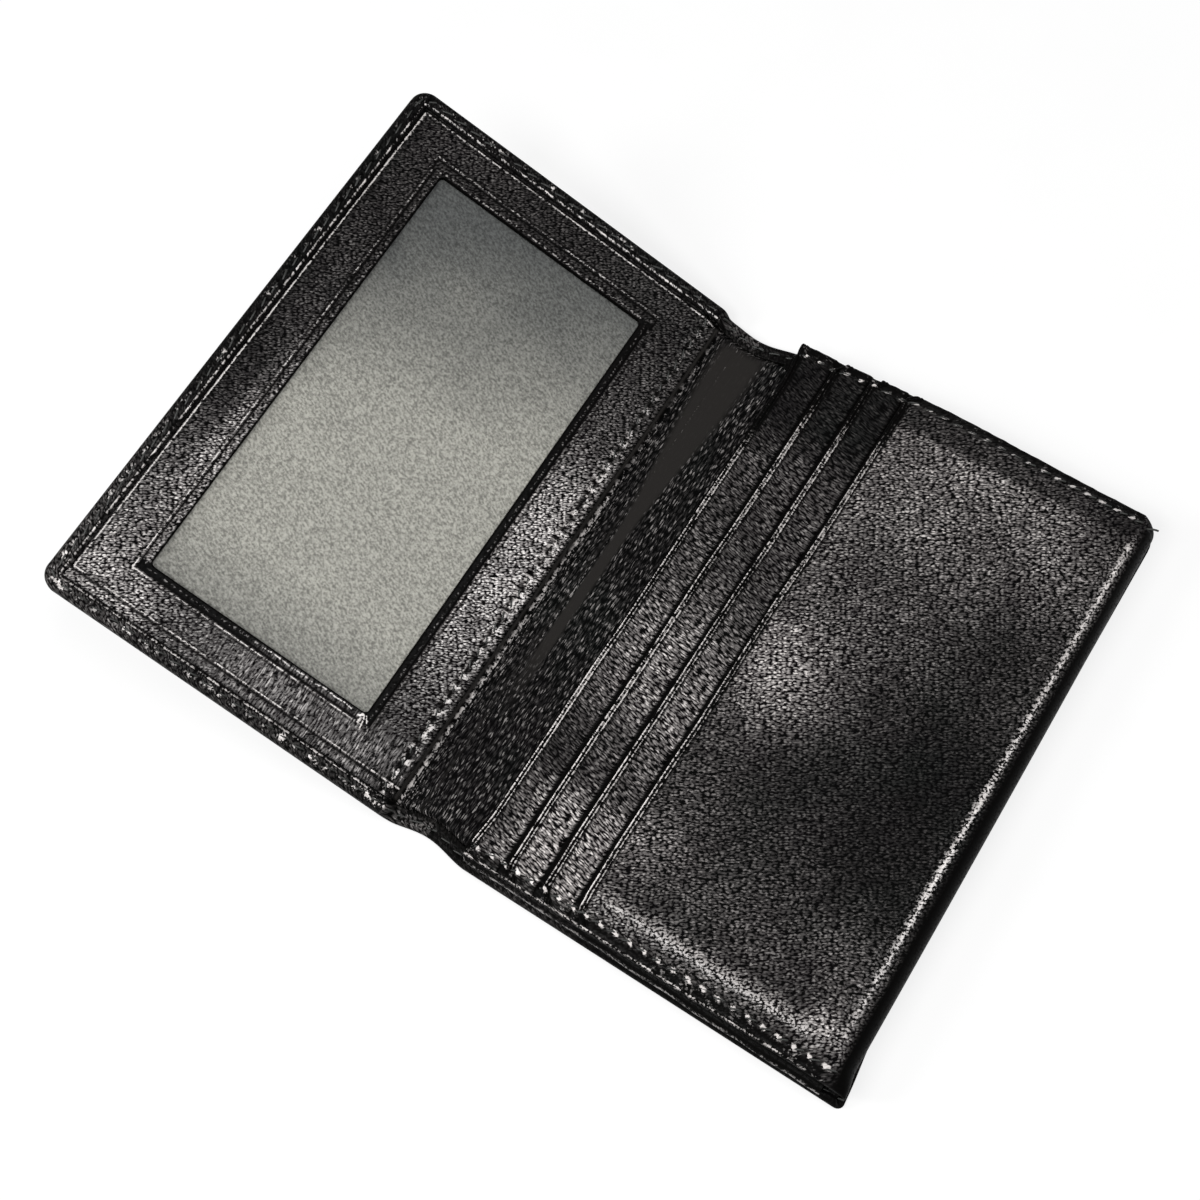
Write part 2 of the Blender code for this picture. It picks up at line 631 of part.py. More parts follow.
def make_front_pocket(pivot, leather):
    """Crowned front pocket whose outer edge rolls down to the back cover."""
    columns = pocket_columns()
    rows = pocket_rows()
    work = bmesh.new()
    bmesh.ops.create_grid(work, x_segments=len(columns) - 1, y_segments=len(rows) - 1, size=1.0)
    for vertex in work.verts:
        column = round((vertex.co.x + 1) / 2 * (len(columns) - 1))
        row = round((vertex.co.y + 1) / 2 * (len(rows) - 1))
        x, z, flat = columns[column]
        y = STACK_LOWER_Y + (upper_edge(x) - STACK_LOWER_Y) * rows[row]
        from_side = min(y - STACK_LOWER_Y, upper_edge(x) - y)
        from_outer = STACK_OUTER - ROLL_DEPTH - x
        spread = min((x - FRONT_POCKET_MOUTH) / (STACK_OUTER - ROLL_DEPTH - FRONT_POCKET_MOUTH), 1)
        local_x, local_z = stack_place(x - outer_shift(y) * spread, z)
        vertex.co = (local_x, y, local_z + flat * imprint_height(from_outer, from_side))
    mesh = bpy.data.meshes.new("front_pocket")
    work.to_mesh(mesh)
    work.free()
    part = bpy.data.objects.new("front_pocket", mesh)
    soften = part.modifiers.new("soft_cage", "SUBSURF")
    soften.levels = 1
    soften.render_levels = 1
    soften.boundary_smooth = "PRESERVE_CORNERS"
    wall = part.modifiers.new("leather", "SOLIDIFY")
    wall.thickness = INNER_LEATHER
    wall.offset = -1
    wall.use_even_offset = True
    return finish_part(part, leather, pivot, smooth=True)


def make_pocket_stack(pivot, leather, fabric):
    """Backing panel, two card slots and the front pocket."""
    mouth_strip("pocket_backing_panel", STACK_MOUTH, LAYER_OUTER, BACKING_LOW, pivot, leather)
    for number in range(1, SLOT_COUNT + 1):
        make_slot(number, pivot, leather, fabric)
    make_front_pocket(pivot, leather)


def build():
    """Make the whole holder, open on a table with the window wing half raised."""
    clear_scene()
    make_collection(PARTS)
    make_collection(CUTTERS)
    cover_leather = make_material("cover_leather", (0.012, 0.012, 0.012), 0.45)
    inner_leather = make_material("inner_leather", (0.016, 0.015, 0.016), 0.38)
    fabric = make_material("lining_fabric", (0.02, 0.02, 0.022), 0.85)
    board = make_material("stiffening_board", (0.16, 0.14, 0.12), 0.9)
    film = make_material("frosted_film", (0.33, 0.34, 0.33), 0.35, 0.8)

    root = make_pivot("back_wing", (0, 0, 0))
    spine = make_pivot("spine_fold", (SPINE_HALF, 0, FOLD_HEIGHT), root)
    front = make_pivot("cover_fold", (-SPINE_WIDTH, 0, 0), spine)
    front.rotation_euler.y = REST_ANGLE
    stack = make_pivot("pocket_fold", (FOOT_X, 0, WALL_LOW), root)

    make_front_cover(front, cover_leather)
    make_front_board(front, board)
    make_id_pocket_lining(front, fabric)
    make_window_film(front, film)
    make_window_panel(front, inner_leather)
    make_spine_cover(spine, cover_leather)
    make_spine_lining(spine, inner_leather)
    make_back_cover(root, cover_leather)
    make_back_board(root, board)
    make_back_lining(root, fabric)
    make_gusset(root, inner_leather, 1, "gusset_upper")
    make_gusset(root, inner_leather, -1, "gusset_lower")
    make_pocket_stack(stack, inner_leather, fabric)


build()
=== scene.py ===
"""Looks of a black leather card holder: a window wing, a spine and a gusseted pocket wing.

Lengths are in millimetres until a mesh is made, because the leather's details are that small.
"""

import json
import math

import bmesh
import bpy
import numpy as np
from mathutils import Matrix, Vector

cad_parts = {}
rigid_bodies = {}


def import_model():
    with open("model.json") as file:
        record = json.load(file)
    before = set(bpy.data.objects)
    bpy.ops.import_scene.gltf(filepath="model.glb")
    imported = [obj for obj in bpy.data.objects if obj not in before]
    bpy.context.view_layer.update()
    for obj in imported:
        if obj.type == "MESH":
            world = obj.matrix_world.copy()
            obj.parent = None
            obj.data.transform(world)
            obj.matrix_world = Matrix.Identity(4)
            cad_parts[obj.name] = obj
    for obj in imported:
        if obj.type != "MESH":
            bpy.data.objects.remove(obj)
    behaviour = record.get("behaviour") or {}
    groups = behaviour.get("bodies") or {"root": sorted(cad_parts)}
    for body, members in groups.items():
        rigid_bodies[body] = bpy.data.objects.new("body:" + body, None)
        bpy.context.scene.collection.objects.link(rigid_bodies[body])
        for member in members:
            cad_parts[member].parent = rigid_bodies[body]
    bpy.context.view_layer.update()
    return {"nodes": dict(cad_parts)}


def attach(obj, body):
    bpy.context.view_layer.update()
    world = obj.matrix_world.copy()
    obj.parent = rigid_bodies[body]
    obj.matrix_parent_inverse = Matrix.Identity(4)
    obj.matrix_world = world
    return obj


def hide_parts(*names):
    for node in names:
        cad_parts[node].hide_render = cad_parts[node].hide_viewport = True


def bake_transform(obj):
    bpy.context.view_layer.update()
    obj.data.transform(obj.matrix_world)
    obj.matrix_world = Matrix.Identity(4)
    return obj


for leftover in list(bpy.data.objects):
    bpy.data.objects.remove(leftover)
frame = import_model()

# Sizes of the leather pieces
MM = 0.001
HALF_LENGTH = 52.25
SPINE_HALF = 6.8
FOLD_HEIGHT = 1.75
REST_ANGLE = math.radians(24.2)
FRONT_OUTER = 73.7
FRONT_SKEW = 0.9
BACK_OUTER = 75.2
BACK_SKEW = 1.7
CORNER_RADIUS = 3.0
NEAR_CORNER_RADIUS = 1.2
NEAR_FLARE = 1.3
COVER_THICK = 0.8
HEM_THICK = 0.6
INNER_THICK = 0.7
HEM_WIDTH = 2.9
RING = 3.4
WAIST_DEPTH = 1.2
WAIST_REACH = 8.55
SPINE_TOP = 1.85
FRONT_TOP = 4.1
BACK_TOP = 2.65
OUTER_TOP = 0.95
PANEL_TOP = 3.25
PANEL_OUTER = -65.3
PANEL_FOLD = -1.5
PANEL_HALF = 51.0
WINDOW_LOW = (-54.2, -40.2)
WINDOW_HIGH = (-12.8, 41.2)
WINDOW_RADIUS = 0.7
STACK_LOWER = -50.65
STACK_UPPER = 52.15
STACK_TAPER = 1.0
STACK_BULGE = 0.5
MOUTHS = (8.4, 15.1, 21.8, 28.5)
LAYER_TOPS = (6.65, 7.5, 8.35, 9.3)
STACK_SQUEEZE = 0.1
LAYER_SQUEEZE = 0.42
POCKET_OUTER = 75.8
ROLL_DEPTH = 4.0
ROLL_RISE = 4.1
WALL_FOOT = 1.1
STRIP_THICK = 0.6
FOLD_RADIUS = 0.34
CLOTH_THICK = 0.18
FOLD_LINE = Vector((-SPINE_HALF, 0, FOLD_HEIGHT))
BEND_START, BEND_END = -0.8, 1.2

# Seams: where they run, how far apart their stitches are and where the first one is
HEM_SEAM, HEM_PITCH, HEM_START = 1.45, 2.9, 0.7
PANEL_SEAM, PANEL_PITCH, PANEL_START = -3.75, 2.4, 42.45
STACK_SEAM, STACK_PITCH, STACK_START = 2.2, 2.6, 0.4
HEM_THREAD_SINK = 0.14
THREAD_SINK = 0.08


# Curves and smooth waves that the leather's surfaces are made from
def ease(value):
    """Go from 0 to 1, flat at both ends."""
    held = np.clip(value, 0.0, 1.0)
    return held * held * (3 - 2 * held)


def bell(distance, width):
    """A rounded bump, 1 high, that has died away at twice its width."""
    return np.exp(-(np.asarray(distance, float) / width) ** 2)


def swelling(turns):
    """A wave from 0 to 1 and back for every whole turn."""
    return 0.5 - 0.5 * np.cos(2 * math.pi * turns)


def waves(x, y, size, seed):
    """Smooth random waves between -1 and 1, with bumps of about the given size."""
    gx, gy = np.asarray(x, float) / size + 37.3, np.asarray(y, float) / size + 91.7
    cell_x, cell_y = np.floor(gx), np.floor(gy)
    fx, fy = ease(gx - cell_x), ease(gy - cell_y)

    def corner(step_x, step_y):
        value = np.sin((cell_x + step_x) * 12.71 + (cell_y + step_y) * 31.17 + seed * 7.47)
        value *= 4375.85  # large, so that only the digits after the point matter
        return (value - np.floor(value)) * 2 - 1

    low = corner(0, 0) * (1 - fx) + corner(1, 0) * fx
    high = corner(0, 1) * (1 - fx) + corner(1, 1) * fx
    return low * (1 - fy) + high * fy


def rounded_drop(distance, radius):
    """How far a skin has dropped where it turns down at an edge."""
    inside = np.clip(1 - np.asarray(distance, float) / radius, 0.0, 1.0)
    return radius * (1 - np.sqrt(1 - inside * inside))


def steps(start, *stops):
    """Places from start on: each stop is (where it ends, how far apart the places are)."""
    places = [float(start)]
    for end, apart in stops:
        count = max(1, int(round(abs(end - places[-1]) / apart)))
        first = places[-1]
        places += [first + (end - first) * (index + 1) / count for index in range(count)]
    return np.array(places)


# The holder's outline: waisted at the spine, and leaning at the two outer edges
def waist(x):
    """How far the spine's two ends are drawn in."""
    share = np.clip(np.abs(np.asarray(x, float)) / WAIST_REACH, 0, 1)
    return WAIST_DEPTH * (0.5 + 0.5 * np.cos(math.pi * share))


def outer_edge(side, y):
    """Where a wing's outer edge is at a place along the spine's direction."""
    share = (np.asarray(y, float) + HALF_LENGTH) / (2 * HALF_LENGTH)
    if side < 0:
        return FRONT_OUTER - FRONT_SKEW * share
    flare = NEAR_FLARE * (1 - ease(share * 2 * HALF_LENGTH / 15))
    return BACK_OUTER - BACK_SKEW * share + flare


def stack_upper(x):
    """The pocket stack's upper edge, which drops towards the outer side."""
    share = (np.asarray(x, float) - MOUTHS[0]) / (POCKET_OUTER - MOUTHS[0])
    return STACK_UPPER - STACK_TAPER * share + STACK_BULGE * bell(np.asarray(x) - 38, 20)


def stack_side(x, y):
    """Distance from a place on the stack to its nearer long edge."""
    return np.minimum(y - STACK_LOWER, stack_upper(x) - y)


def seam_press(side):
    """How far the stack is pressed thinner, by the distance from a long edge."""
    return 1 - ease((side - 0.6) / 2.6)


# Placing: the pocket wing and spine lie flat, and the window wing is turned about its fold
def lay_flat(places):
    """Pocket wing and spine: places are already in the holder's frame."""
    return places


def turn_up(places, turn):
    """Turn places about the window wing's fold line."""
    x, z = places[..., 0] - FOLD_LINE.x, places[..., 2] - FOLD_LINE.z
    return np.stack([FOLD_LINE.x + x * np.cos(turn) + z * np.sin(turn), places[..., 1],
                     FOLD_LINE.z - x * np.sin(turn) + z * np.cos(turn)], axis=-1)


def raise_wing(places):
    """Window wing: x is measured from the spine's middle, as if the wing lay flat."""
    return turn_up(places, REST_ANGLE)


def bend_fold(places):
    """Leather that crosses the window wing's fold line."""
    along = -places[..., 0] - SPINE_HALF
    return turn_up(places, REST_ANGLE * ease((along - BEND_START) / (BEND_END - BEND_START)))


# Meshes: patches of places (x, y, z, pressed smooth with painted shade, handled gloss with
# painted highlights) sewn into one skin
def grid_patch(places):
    """Faces over a grid of places."""
    rows, columns = places.shape[:2]
    index = np.arange(rows * columns).reshape(rows, columns)
    corners = [index[:-1, :-1], index[1:, :-1], index[1:, 1:], index[:-1, 1:]]
    faces = np.stack(corners, axis=-1).reshape(-1, 4)
    return places.reshape(-1, places.shape[-1]), faces.tolist()


def loop_patch(loops):
    """Faces over closed sections, each a loop of places."""
    loops = np.array(loops)
    return grid_patch(np.concatenate([loops, loops[:, :1]], axis=1))


def zip_patch(first, second):
    """Triangles between two edges that have different counts of places."""
    faces = []
    a, b = 0, 0
    while a < len(first) - 1 or b < len(second) - 1:
        next_a = (a + 1) / (len(first) - 1)
        next_b = (b + 1) / (len(second) - 1)
        if a < len(first) - 1 and (next_a <= next_b or b == len(second) - 1):
            faces.append([a, a + 1, len(first) + b])
            a += 1
        else:
            faces.append([a, len(first) + b + 1, len(first) + b])
            b += 1
    return np.vstack([first, second]), faces


def holed_patch(places, hole):
    """Faces over a grid of places, apart from a window given by its rows and columns."""
    vertices, faces = grid_patch(places)
    rows, columns = places.shape[:2]
    keep = np.ones((rows - 1, columns - 1), bool)
    keep[hole[0]:hole[1], hole[2]:hole[3]] = False
    kept = [face for face, wanted in zip(faces, keep.ravel()) if wanted]
    return vertices, kept


def sheet_patches(top, under, hole=None):
    """A leather sheet: its two faces and its edges, with a window if a hole is given."""
    patches = []
    for skin in (top, under):
        patches.append(grid_patch(skin) if hole is None else holed_patch(skin, hole))
    borders = [(0, slice(None)), (-1, slice(None)), (slice(None), 0), (slice(None), -1)]
    if hole is not None:
        low_row, high_row, low_column, high_column = hole
        across, along = slice(low_column, high_column + 1), slice(low_row, high_row + 1)
        borders += [(low_row, across), (high_row, across)]
        borders += [(along, low_column), (along, high_column)]
    for border in borders:
        patches.append(grid_patch(np.stack([top[border], under[border]])))
    return patches


def wing_sheen_and_gloss(x, y):
    """How much painted sheen and extra gloss the window wing gets, place by place."""
    start = 16 - 24 * ease((-63 - x) / 4)
    wing = 0.1 + 0.6 * ease((start - y) / 40) * (1 - ease((x + 60) / 5))
    wing += 0.8 * bell(y + 6, 22) * ease((x + 24) / 6)
    wing += 0.28 * ease((-39 - y) / 5) * ease((x + 63) / 4) * (1 - ease((x + 20) / 12))
    wing *= 1 - 0.55 * ease((-67 - x) / 3) * ease((y + 20) / 20)
    hem = ease((-x + HEM_WIDTH - outer_edge(-1, y)) / 0.3)
    return wing * (1 - 0.75 * np.maximum(hem, ease((np.abs(y) - 49.2) / 0.4)))


def strips_sheen_and_gloss(x, y):
    """How much painted sheen and extra gloss the strips of the stack get, place by place."""
    strips = 0.03 + 0.16 * ease((39 - y) / 12)
    strips += 0.28 * bell(y + 7 + 0.35 * (x - 10), 11) * (0.8 + 0.02 * x)
    strips -= 0.12 * bell(y + 28, 6) * ease((22 - x) / 9)
    strips += (0.1 + 0.5 * ease((x - 10) / 7)) * ease((-30 - y) / 8)
    return strips


def pocket_sheen_and_gloss(x, y):
    """How much painted sheen and extra gloss the front pocket gets, place by place."""
    right = 0.5 * ease((x - 50) / 12) * ease((34 - y) / 10)
    pocket = (0.07 + 0.14 * ease((y + 2) / 20) + 0.2 * ease((y - 20) / 12)) * (1 - right)
    pocket += 0.07 * ease((50 - x) / 18)
    pocket += 0.07 * bell(y - 43, 2.5) * ease((62 - x) / 8)
    pocket += 0.75 * bell(np.hypot((x - 33) / 9.5, y / 7.5), 1)
    pocket += 0.15 * bell(y + 36, 8) * (1 - 0.6 * bell(x - 42, 7))
    pocket += 0.12 * bell(np.hypot(x - 31, y + 37), 5)
    pocket *= 1 - 0.7 * ease((y - 44.5) / 1.6)
    pocket += 0.12 * bell(y + 47.5, 1.2)
    pocket += 0.25 * bell(y + 45, 1.6)
    pocket += 0.6 * bell(np.hypot(x - 68.5, y + 43.5), 2.6)
    return pocket * (1 - 0.4 * ease((x - 61) / 6) * ease((y - 28) / 6))


def sheen_and_gloss_by_place(x, y):
    """How much painted sheen and extra gloss a place on the holder gets, laid flat: a lighter
    tint and brighter painted highlights on the grain.
    """
    past_slots = ease((x - 27.5) / 2.5)
    middle = np.where(x < 7.6, 0.17, strips_sheen_and_gloss(x, y))
    middle = middle * (1 - past_slots) + pocket_sheen_and_gloss(x, y) * past_slots
    return np.clip(np.where(x < -8.9, wing_sheen_and_gloss(x, y), middle), 0, 1)


def show(name, data):
    """Put a mesh, a lamp or a camera into the scene."""
    shown = bpy.data.objects.new(name, data)
    bpy.context.scene.collection.objects.link(shown)
    return shown


# Painted sheen and gloss for low faces that look down.
UNSEEN_SHEEN_AND_GLOSS = 0.12
SHARP_EDGE = math.radians(60)


def sew(name, patches, material, place=lay_flat):
    """Sew patches into one closed leather piece, which stands where the CAD says."""
    vertices, faces, count = [], [], 0
    for places, patch_faces in patches:
        vertices.append(places)
        faces += [[corner + count for corner in face] for face in patch_faces]
        count += len(places)
    vertices = np.vstack(vertices)
    hide = vertices[:, :3].copy()
    hide[:, 2] -= np.max(hide[:, 2])
    hide[:, 2] *= 1 - 2 * ease((hide[:, 0] - 50) / 20)
    # Painted sheen by place, with a plain level on low faces.
    seen = ease((vertices[:, 2] - 0.3) / 0.8)
    polish_and_sheen = sheen_and_gloss_by_place(vertices[:, 0], vertices[:, 1]) * seen
    polish_and_sheen += UNSEEN_SHEEN_AND_GLOSS * (1 - seen)
    mesh = bpy.data.meshes.new(name)
    mesh.from_pydata((place(vertices[:, :3]) * MM).tolist(), [], faces)
    # The last two columns paint light: pressed places darker as painted shade (a painted sheen on
    # the spine), glossy places lighter as painted highlights.
    for label, kind, field, values in (("hide_place", "FLOAT_VECTOR", "vector", hide * MM),
                                       ("pressed", "FLOAT", "value", vertices[:, 3]),
                                       ("wear_and_glint", "FLOAT", "value", vertices[:, 4]),
                                       ("sheen_and_gloss", "FLOAT", "value", polish_and_sheen)):
        attribute = mesh.attributes.new(label, kind, "POINT")
        attribute.data.foreach_set(field, values.astype(np.float32).ravel())
    work = bmesh.new()
    work.from_mesh(mesh)
    bmesh.ops.remove_doubles(work, verts=work.verts, dist=1e-6)
    bmesh.ops.dissolve_degenerate(work, edges=work.edges, dist=1e-7)
    open_edges = [edge for edge in work.edges if edge.is_boundary]
    if open_edges:
        bmesh.ops.holes_fill(work, edges=open_edges, sides=0)
    bmesh.ops.recalc_face_normals(work, faces=work.faces)
    work.to_mesh(mesh)
    work.free()
    mesh.materials.append(material)
    mesh.shade_smooth()
    mesh.set_sharp_from_angle(angle=SHARP_EDGE)
    piece = show(name, mesh)
    return piece


def with_wear_and_shade(x, y, z, pressed=0.0, wear_and_glint=0.0):
    """Put places, how smooth the leather is pressed, which also paints it darker as painted shade
    (a painted sheen on the spine), and its handled gloss, which also paints highlights into its
    colour, in one array.
    """
    columns = np.broadcast_arrays(x, y, z, pressed, wear_and_glint)
    return np.stack(columns, axis=-1).astype(float)


# Relief of the leather: seams, pressed lines and slow waves
def seam_pits(along, across, pitch, start, depth):
    """Leather pulled down by the thread: a pit at each stitch hole and a swelling between."""
    phase = (along - start) / pitch
    nearest = (phase - np.round(phase)) * pitch
    pits = bell(nearest, 0.42) * bell(across, 0.38)
    return depth * (0.45 * swelling(phase) * bell(across, 0.8) - pits - 0.35 * bell(across, 0.45))


def pressed_line(distance, depth, width=0.2, ridge=0.0, ridge_at=0.45):
    """A line pressed into leather, with a ridge standing beside it."""
    return ridge * bell(distance - ridge_at, width) - depth * bell(distance, width)


# Shader nodes, and the groups that several finishes share
FLOAT, VECTOR = "NodeSocketFloat", "NodeSocketVector"
MIDDLE_GREY = (0.5, 0.5, 0.5)


def feed(tree, socket, value):
    """Give a socket a link or a plain value."""
    if isinstance(value, bpy.types.NodeSocket):
        tree.links.new(value, socket)
    else:
        socket.default_value = value


def add_node(tree, kind, inputs=None, **settings):
    """Add a node, set its properties and feed its inputs."""
    made = tree.nodes.new(kind)
    for key, value in settings.items():
        setattr(made, key, value)
    for key, value in (inputs or {}).items():
        feed(tree, made.inputs[key], value)
    return made


def maths(tree, operation, *values, clamp=False):
    """A Math node's result."""
    inputs = dict(enumerate(values))
    made = add_node(tree, "ShaderNodeMath", inputs, operation=operation, use_clamp=clamp)
    return made.outputs[0]


def vector_maths(tree, operation, first, second=None, scale=None):
    """A Vector Math node's vector result."""
    inputs = {0: first, 1: second, "Scale": scale}
    given = {key: value for key, value in inputs.items() if value is not None}
    return add_node(tree, "ShaderNodeVectorMath", given, operation=operation).outputs[0]


def ramp(tree, value, low, high, to_low=0.0, to_high=1.0):
    """Stretch a range of values onto another, with soft ends."""
    inputs = {"Value": value, "From Min": low, "From Max": high,
              "To Min": to_low, "To Max": to_high}
    made = add_node(tree, "ShaderNodeMapRange", inputs, interpolation_type="SMOOTHSTEP")
    return made.outputs["Result"]


def noise(tree, place, scale, detail=2.0, roughness=0.5, output="Fac"):
    """A Noise Texture's value or colour."""
    inputs = {"Vector": place, "Scale": scale, "Detail": detail, "Roughness": roughness}
    return add_node(tree, "ShaderNodeTexNoise", inputs, noise_dimensions="3D").outputs[output]


def random_shift(tree, place, scale, roughness, reach):
    """Smooth random moves, up to half of the reach to every side."""
    colour = noise(tree, place, scale, 1.0, roughness, "Color")
    centred = vector_maths(tree, "SUBTRACT", colour, MIDDLE_GREY)
    return vector_maths(tree, "SCALE", centred, scale=reach)


def random_cells(tree, place):
    """Flat random cells of one unit: distance to their middles, and a number for each."""
    made = add_node(tree, "ShaderNodeTexVoronoi", voronoi_dimensions="2D", feature="F1")
    for key, value in (("Vector", place), ("Scale", 1.0), ("Randomness", 0.78)):
        feed(tree, made.inputs[key], value)
    number = add_node(tree, "ShaderNodeSeparateColor", {0: made.outputs["Color"]})
    return made.outputs["Distance"], number.outputs[0]


def split(tree, place):
    """The three values of a place."""
    return add_node(tree, "ShaderNodeSeparateXYZ", {0: place}).outputs


def turn_flat(tree, place, angle):
    """A place turned about the upright axis."""
    inputs = {"Vector": place, "Angle": angle}
    made = add_node(tree, "ShaderNodeVectorRotate", inputs, rotation_type="Z_AXIS")
    return made.outputs[0]


def object_place(tree):
    """The place on an object, in its own frame."""
    return add_node(tree, "ShaderNodeTexCoord").outputs["Object"]


def new_group(name, inputs, outputs):
    """A shader group with named inputs and outputs: its inputs' and its outputs' sockets."""
    group = bpy.data.node_groups.new(name, "ShaderNodeTree")
    for label, kind in inputs:
        group.interface.new_socket(name=label, in_out="INPUT", socket_type=kind)
    for label in outputs:
        group.interface.new_socket(name=label, in_out="OUTPUT", socket_type=FLOAT)
    given = group.nodes.new("NodeGroupInput").outputs
    return group, given, group.nodes.new("NodeGroupOutput").inputs


def build_leather_grain():
    """Drawn-out pebbles with winding edges: their height, painted highlights on their tops and
    painted shade in their hollows.
    """
    group, given, result = new_group(
        "leather_grain",
        [("Place", VECTOR), ("Turn", FLOAT), ("Cell Along", FLOAT), ("Cell Across", FLOAT),
         ("Pressed", FLOAT)],
        ["Height", "Valley Shade", "Crest Glint", "Pebbles"])
    along, across, up = split(group, given["Place"])
    unrolled = add_node(group, "ShaderNodeCombineXYZ",
                        {0: maths(group, "MULTIPLY_ADD", up, 0.9, along),
                         1: maths(group, "MULTIPLY_ADD", up, 0.5, across)})
    drift = random_shift(group, given["Place"], 80.0, 0.5, 0.0012)
    drifted = vector_maths(group, "ADD", unrolled.outputs[0], drift)
    cell = add_node(group, "ShaderNodeCombineXYZ",
                    {0: given["Cell Along"], 1: given["Cell Across"], 2: given["Cell Across"]})
    place = vector_maths(group, "DIVIDE", turn_flat(group, drifted, given["Turn"]),
                         cell.outputs[0])
    place = vector_maths(group, "ADD", place, random_shift(group, place, 0.7, 0.6, 0.6))
    middle, number = random_cells(group, place)
    winding = noise(group, place, 1.7, 1.0, 0.5)
    pebbles = maths(group, "MULTIPLY_ADD", middle, -0.7, winding)
    pebbles = ramp(group, pebbles, -0.02, 0.44)
    height = maths(group, "MULTIPLY", pebbles, ramp(group, number, 0.0, 1.0, 0.66, 1.0))
    flattened = maths(group, "SUBTRACT", 1.0, given["Pressed"], clamp=True)
    # Where the painted highlights on the pebbles' tops go.
    peaks = maths(group, "MULTIPLY", maths(group, "POWER", height, 5.0), 0.85)
    crest = maths(group, "MULTIPLY_ADD", ramp(group, height, 0.1, 0.5), 0.15, peaks)
    feed(group, result["Height"], maths(group, "MULTIPLY", height, flattened))
    feed(group, result["Valley Shade"], ramp(group, height, 0.3, 0.02))
    feed(group, result["Crest Glint"], maths(group, "MULTIPLY", crest, flattened))
    feed(group, result["Pebbles"], pebbles)
    return group


def build_handling():
    """Slow changes that handling leaves: glossier patches, which also brighten the painted
    highlights on the grain, and faded, tinted patches.
    """
    group, given, result = new_group("handling", [("Place", VECTOR), ("Pressed", FLOAT)],
                                     ["Polish", "Fading", "Tint"])
    place = given["Place"]
    broad = noise(group, place, 75.0, 3.0, 0.55)
    fine = noise(group, place, 420.0, 3.0, 0.6)
    polish_and_sheen = maths(group, "MULTIPLY_ADD", fine, 0.35, maths(group, "MULTIPLY", broad, 0.65))
    polish_and_sheen = maths(group, "MULTIPLY_ADD", given["Pressed"], 0.35, polish_and_sheen, clamp=True)
    feed(group, result["Polish"], polish_and_sheen)
    feed(group, result["Fading"], ramp(group, noise(group, place, 33.0), 0.35, 0.7))
    feed(group, result["Tint"], ramp(group, noise(group, place, 58.0), 0.45, 0.65))
    return group


def build_weave():
    """Plain weave of fine threads, as a height and a mask of the threads that lie on top."""
    group, given, result = new_group("plain_weave", [("Place", VECTOR), ("Thread", FLOAT)],
                                     ["Height", "On Top"])
    scale = maths(group, "DIVIDE", math.pi, given["Thread"])
    parts = split(group, vector_maths(group, "SCALE", given["Place"], scale=scale))
    across, along = (maths(group, "SINE", part) for part in parts[:2])
    ridge = maths(group, "ABSOLUTE", maths(group, "ADD", across, along))
    feed(group, result["Height"], maths(group, "MULTIPLY", ridge, 0.5))
    feed(group, result["On Top"],
         ramp(group, maths(group, "MULTIPLY", across, along), -0.3, 0.3))
    return group


LEATHER_GRAIN = build_leather_grain()
HANDLING = build_handling()
WEAVE = build_weave()


# Finishes
def new_finish(name, roughness, specular):
    """A material with its Principled shader, ready for its pattern."""
    material = bpy.data.materials.new(name)
    material.use_nodes = True
    tree = material.node_tree
    shader = next(node for node in tree.nodes if node.type == "BSDF_PRINCIPLED")
    shader.inputs["Roughness"].default_value = roughness
    shader.inputs["Specular IOR Level"].default_value = specular
    return material, tree, shader


def shade_between(tree, factor, first, second):
    """A colour between two plain colours or links, by a factor."""
    made = add_node(tree, "ShaderNodeMix", {0: factor}, data_type="RGBA")
    low, high = [socket for socket in made.inputs if socket.type == "RGBA"]
    feed(tree, low, first)
    feed(tree, high, second)
    return next(socket for socket in made.outputs if socket.type == "RGBA")


def dress(tree, shader, body, rough, height, depth, strength=1.0):
    """Give a shader its colour and roughness, and a height in mm that stands out of it."""
    bump = add_node(tree, "ShaderNodeBump",
                    {"Strength": strength, "Distance": depth * MM, "Height": height})
    for key, value in (("Base Color", body), ("Roughness", rough),
                       ("Normal", bump.outputs["Normal"])):
        feed(tree, shader.inputs[key], value)


# Colours of black hide: fresh, faded, greenish, a painted sheen, and painted shade in the grain's
# hollows
FRESH_HIDE = (0.0026, 0.0026, 0.0028, 1)
FADED_HIDE = (0.0058, 0.0053, 0.0056, 1)
GREENISH_HIDE = (0.0027, 0.0038, 0.0035, 1)
PAINTED_SHEEN_HIDE = (0.034, 0.025, 0.028, 1)
VALLEY_SHADE_HIDE = (0.001, 0.001, 0.001, 1)


def lay_grain(tree, place, pressed, turn, along, across):
    """The leather grain group, set for one direction in degrees and one cell size in mm."""
    inputs = {"Place": place, "Pressed": pressed, "Turn": math.radians(-turn),
              "Cell Along": along * MM, "Cell Across": across * MM}
    grain = add_node(tree, "ShaderNodeGroup", node_tree=LEATHER_GRAIN)
    for key, value in inputs.items():
        feed(tree, grain.inputs[key], value)
    return [grain.outputs[name] for name in ("Height", "Valley Shade", "Crest Glint", "Pebbles")]


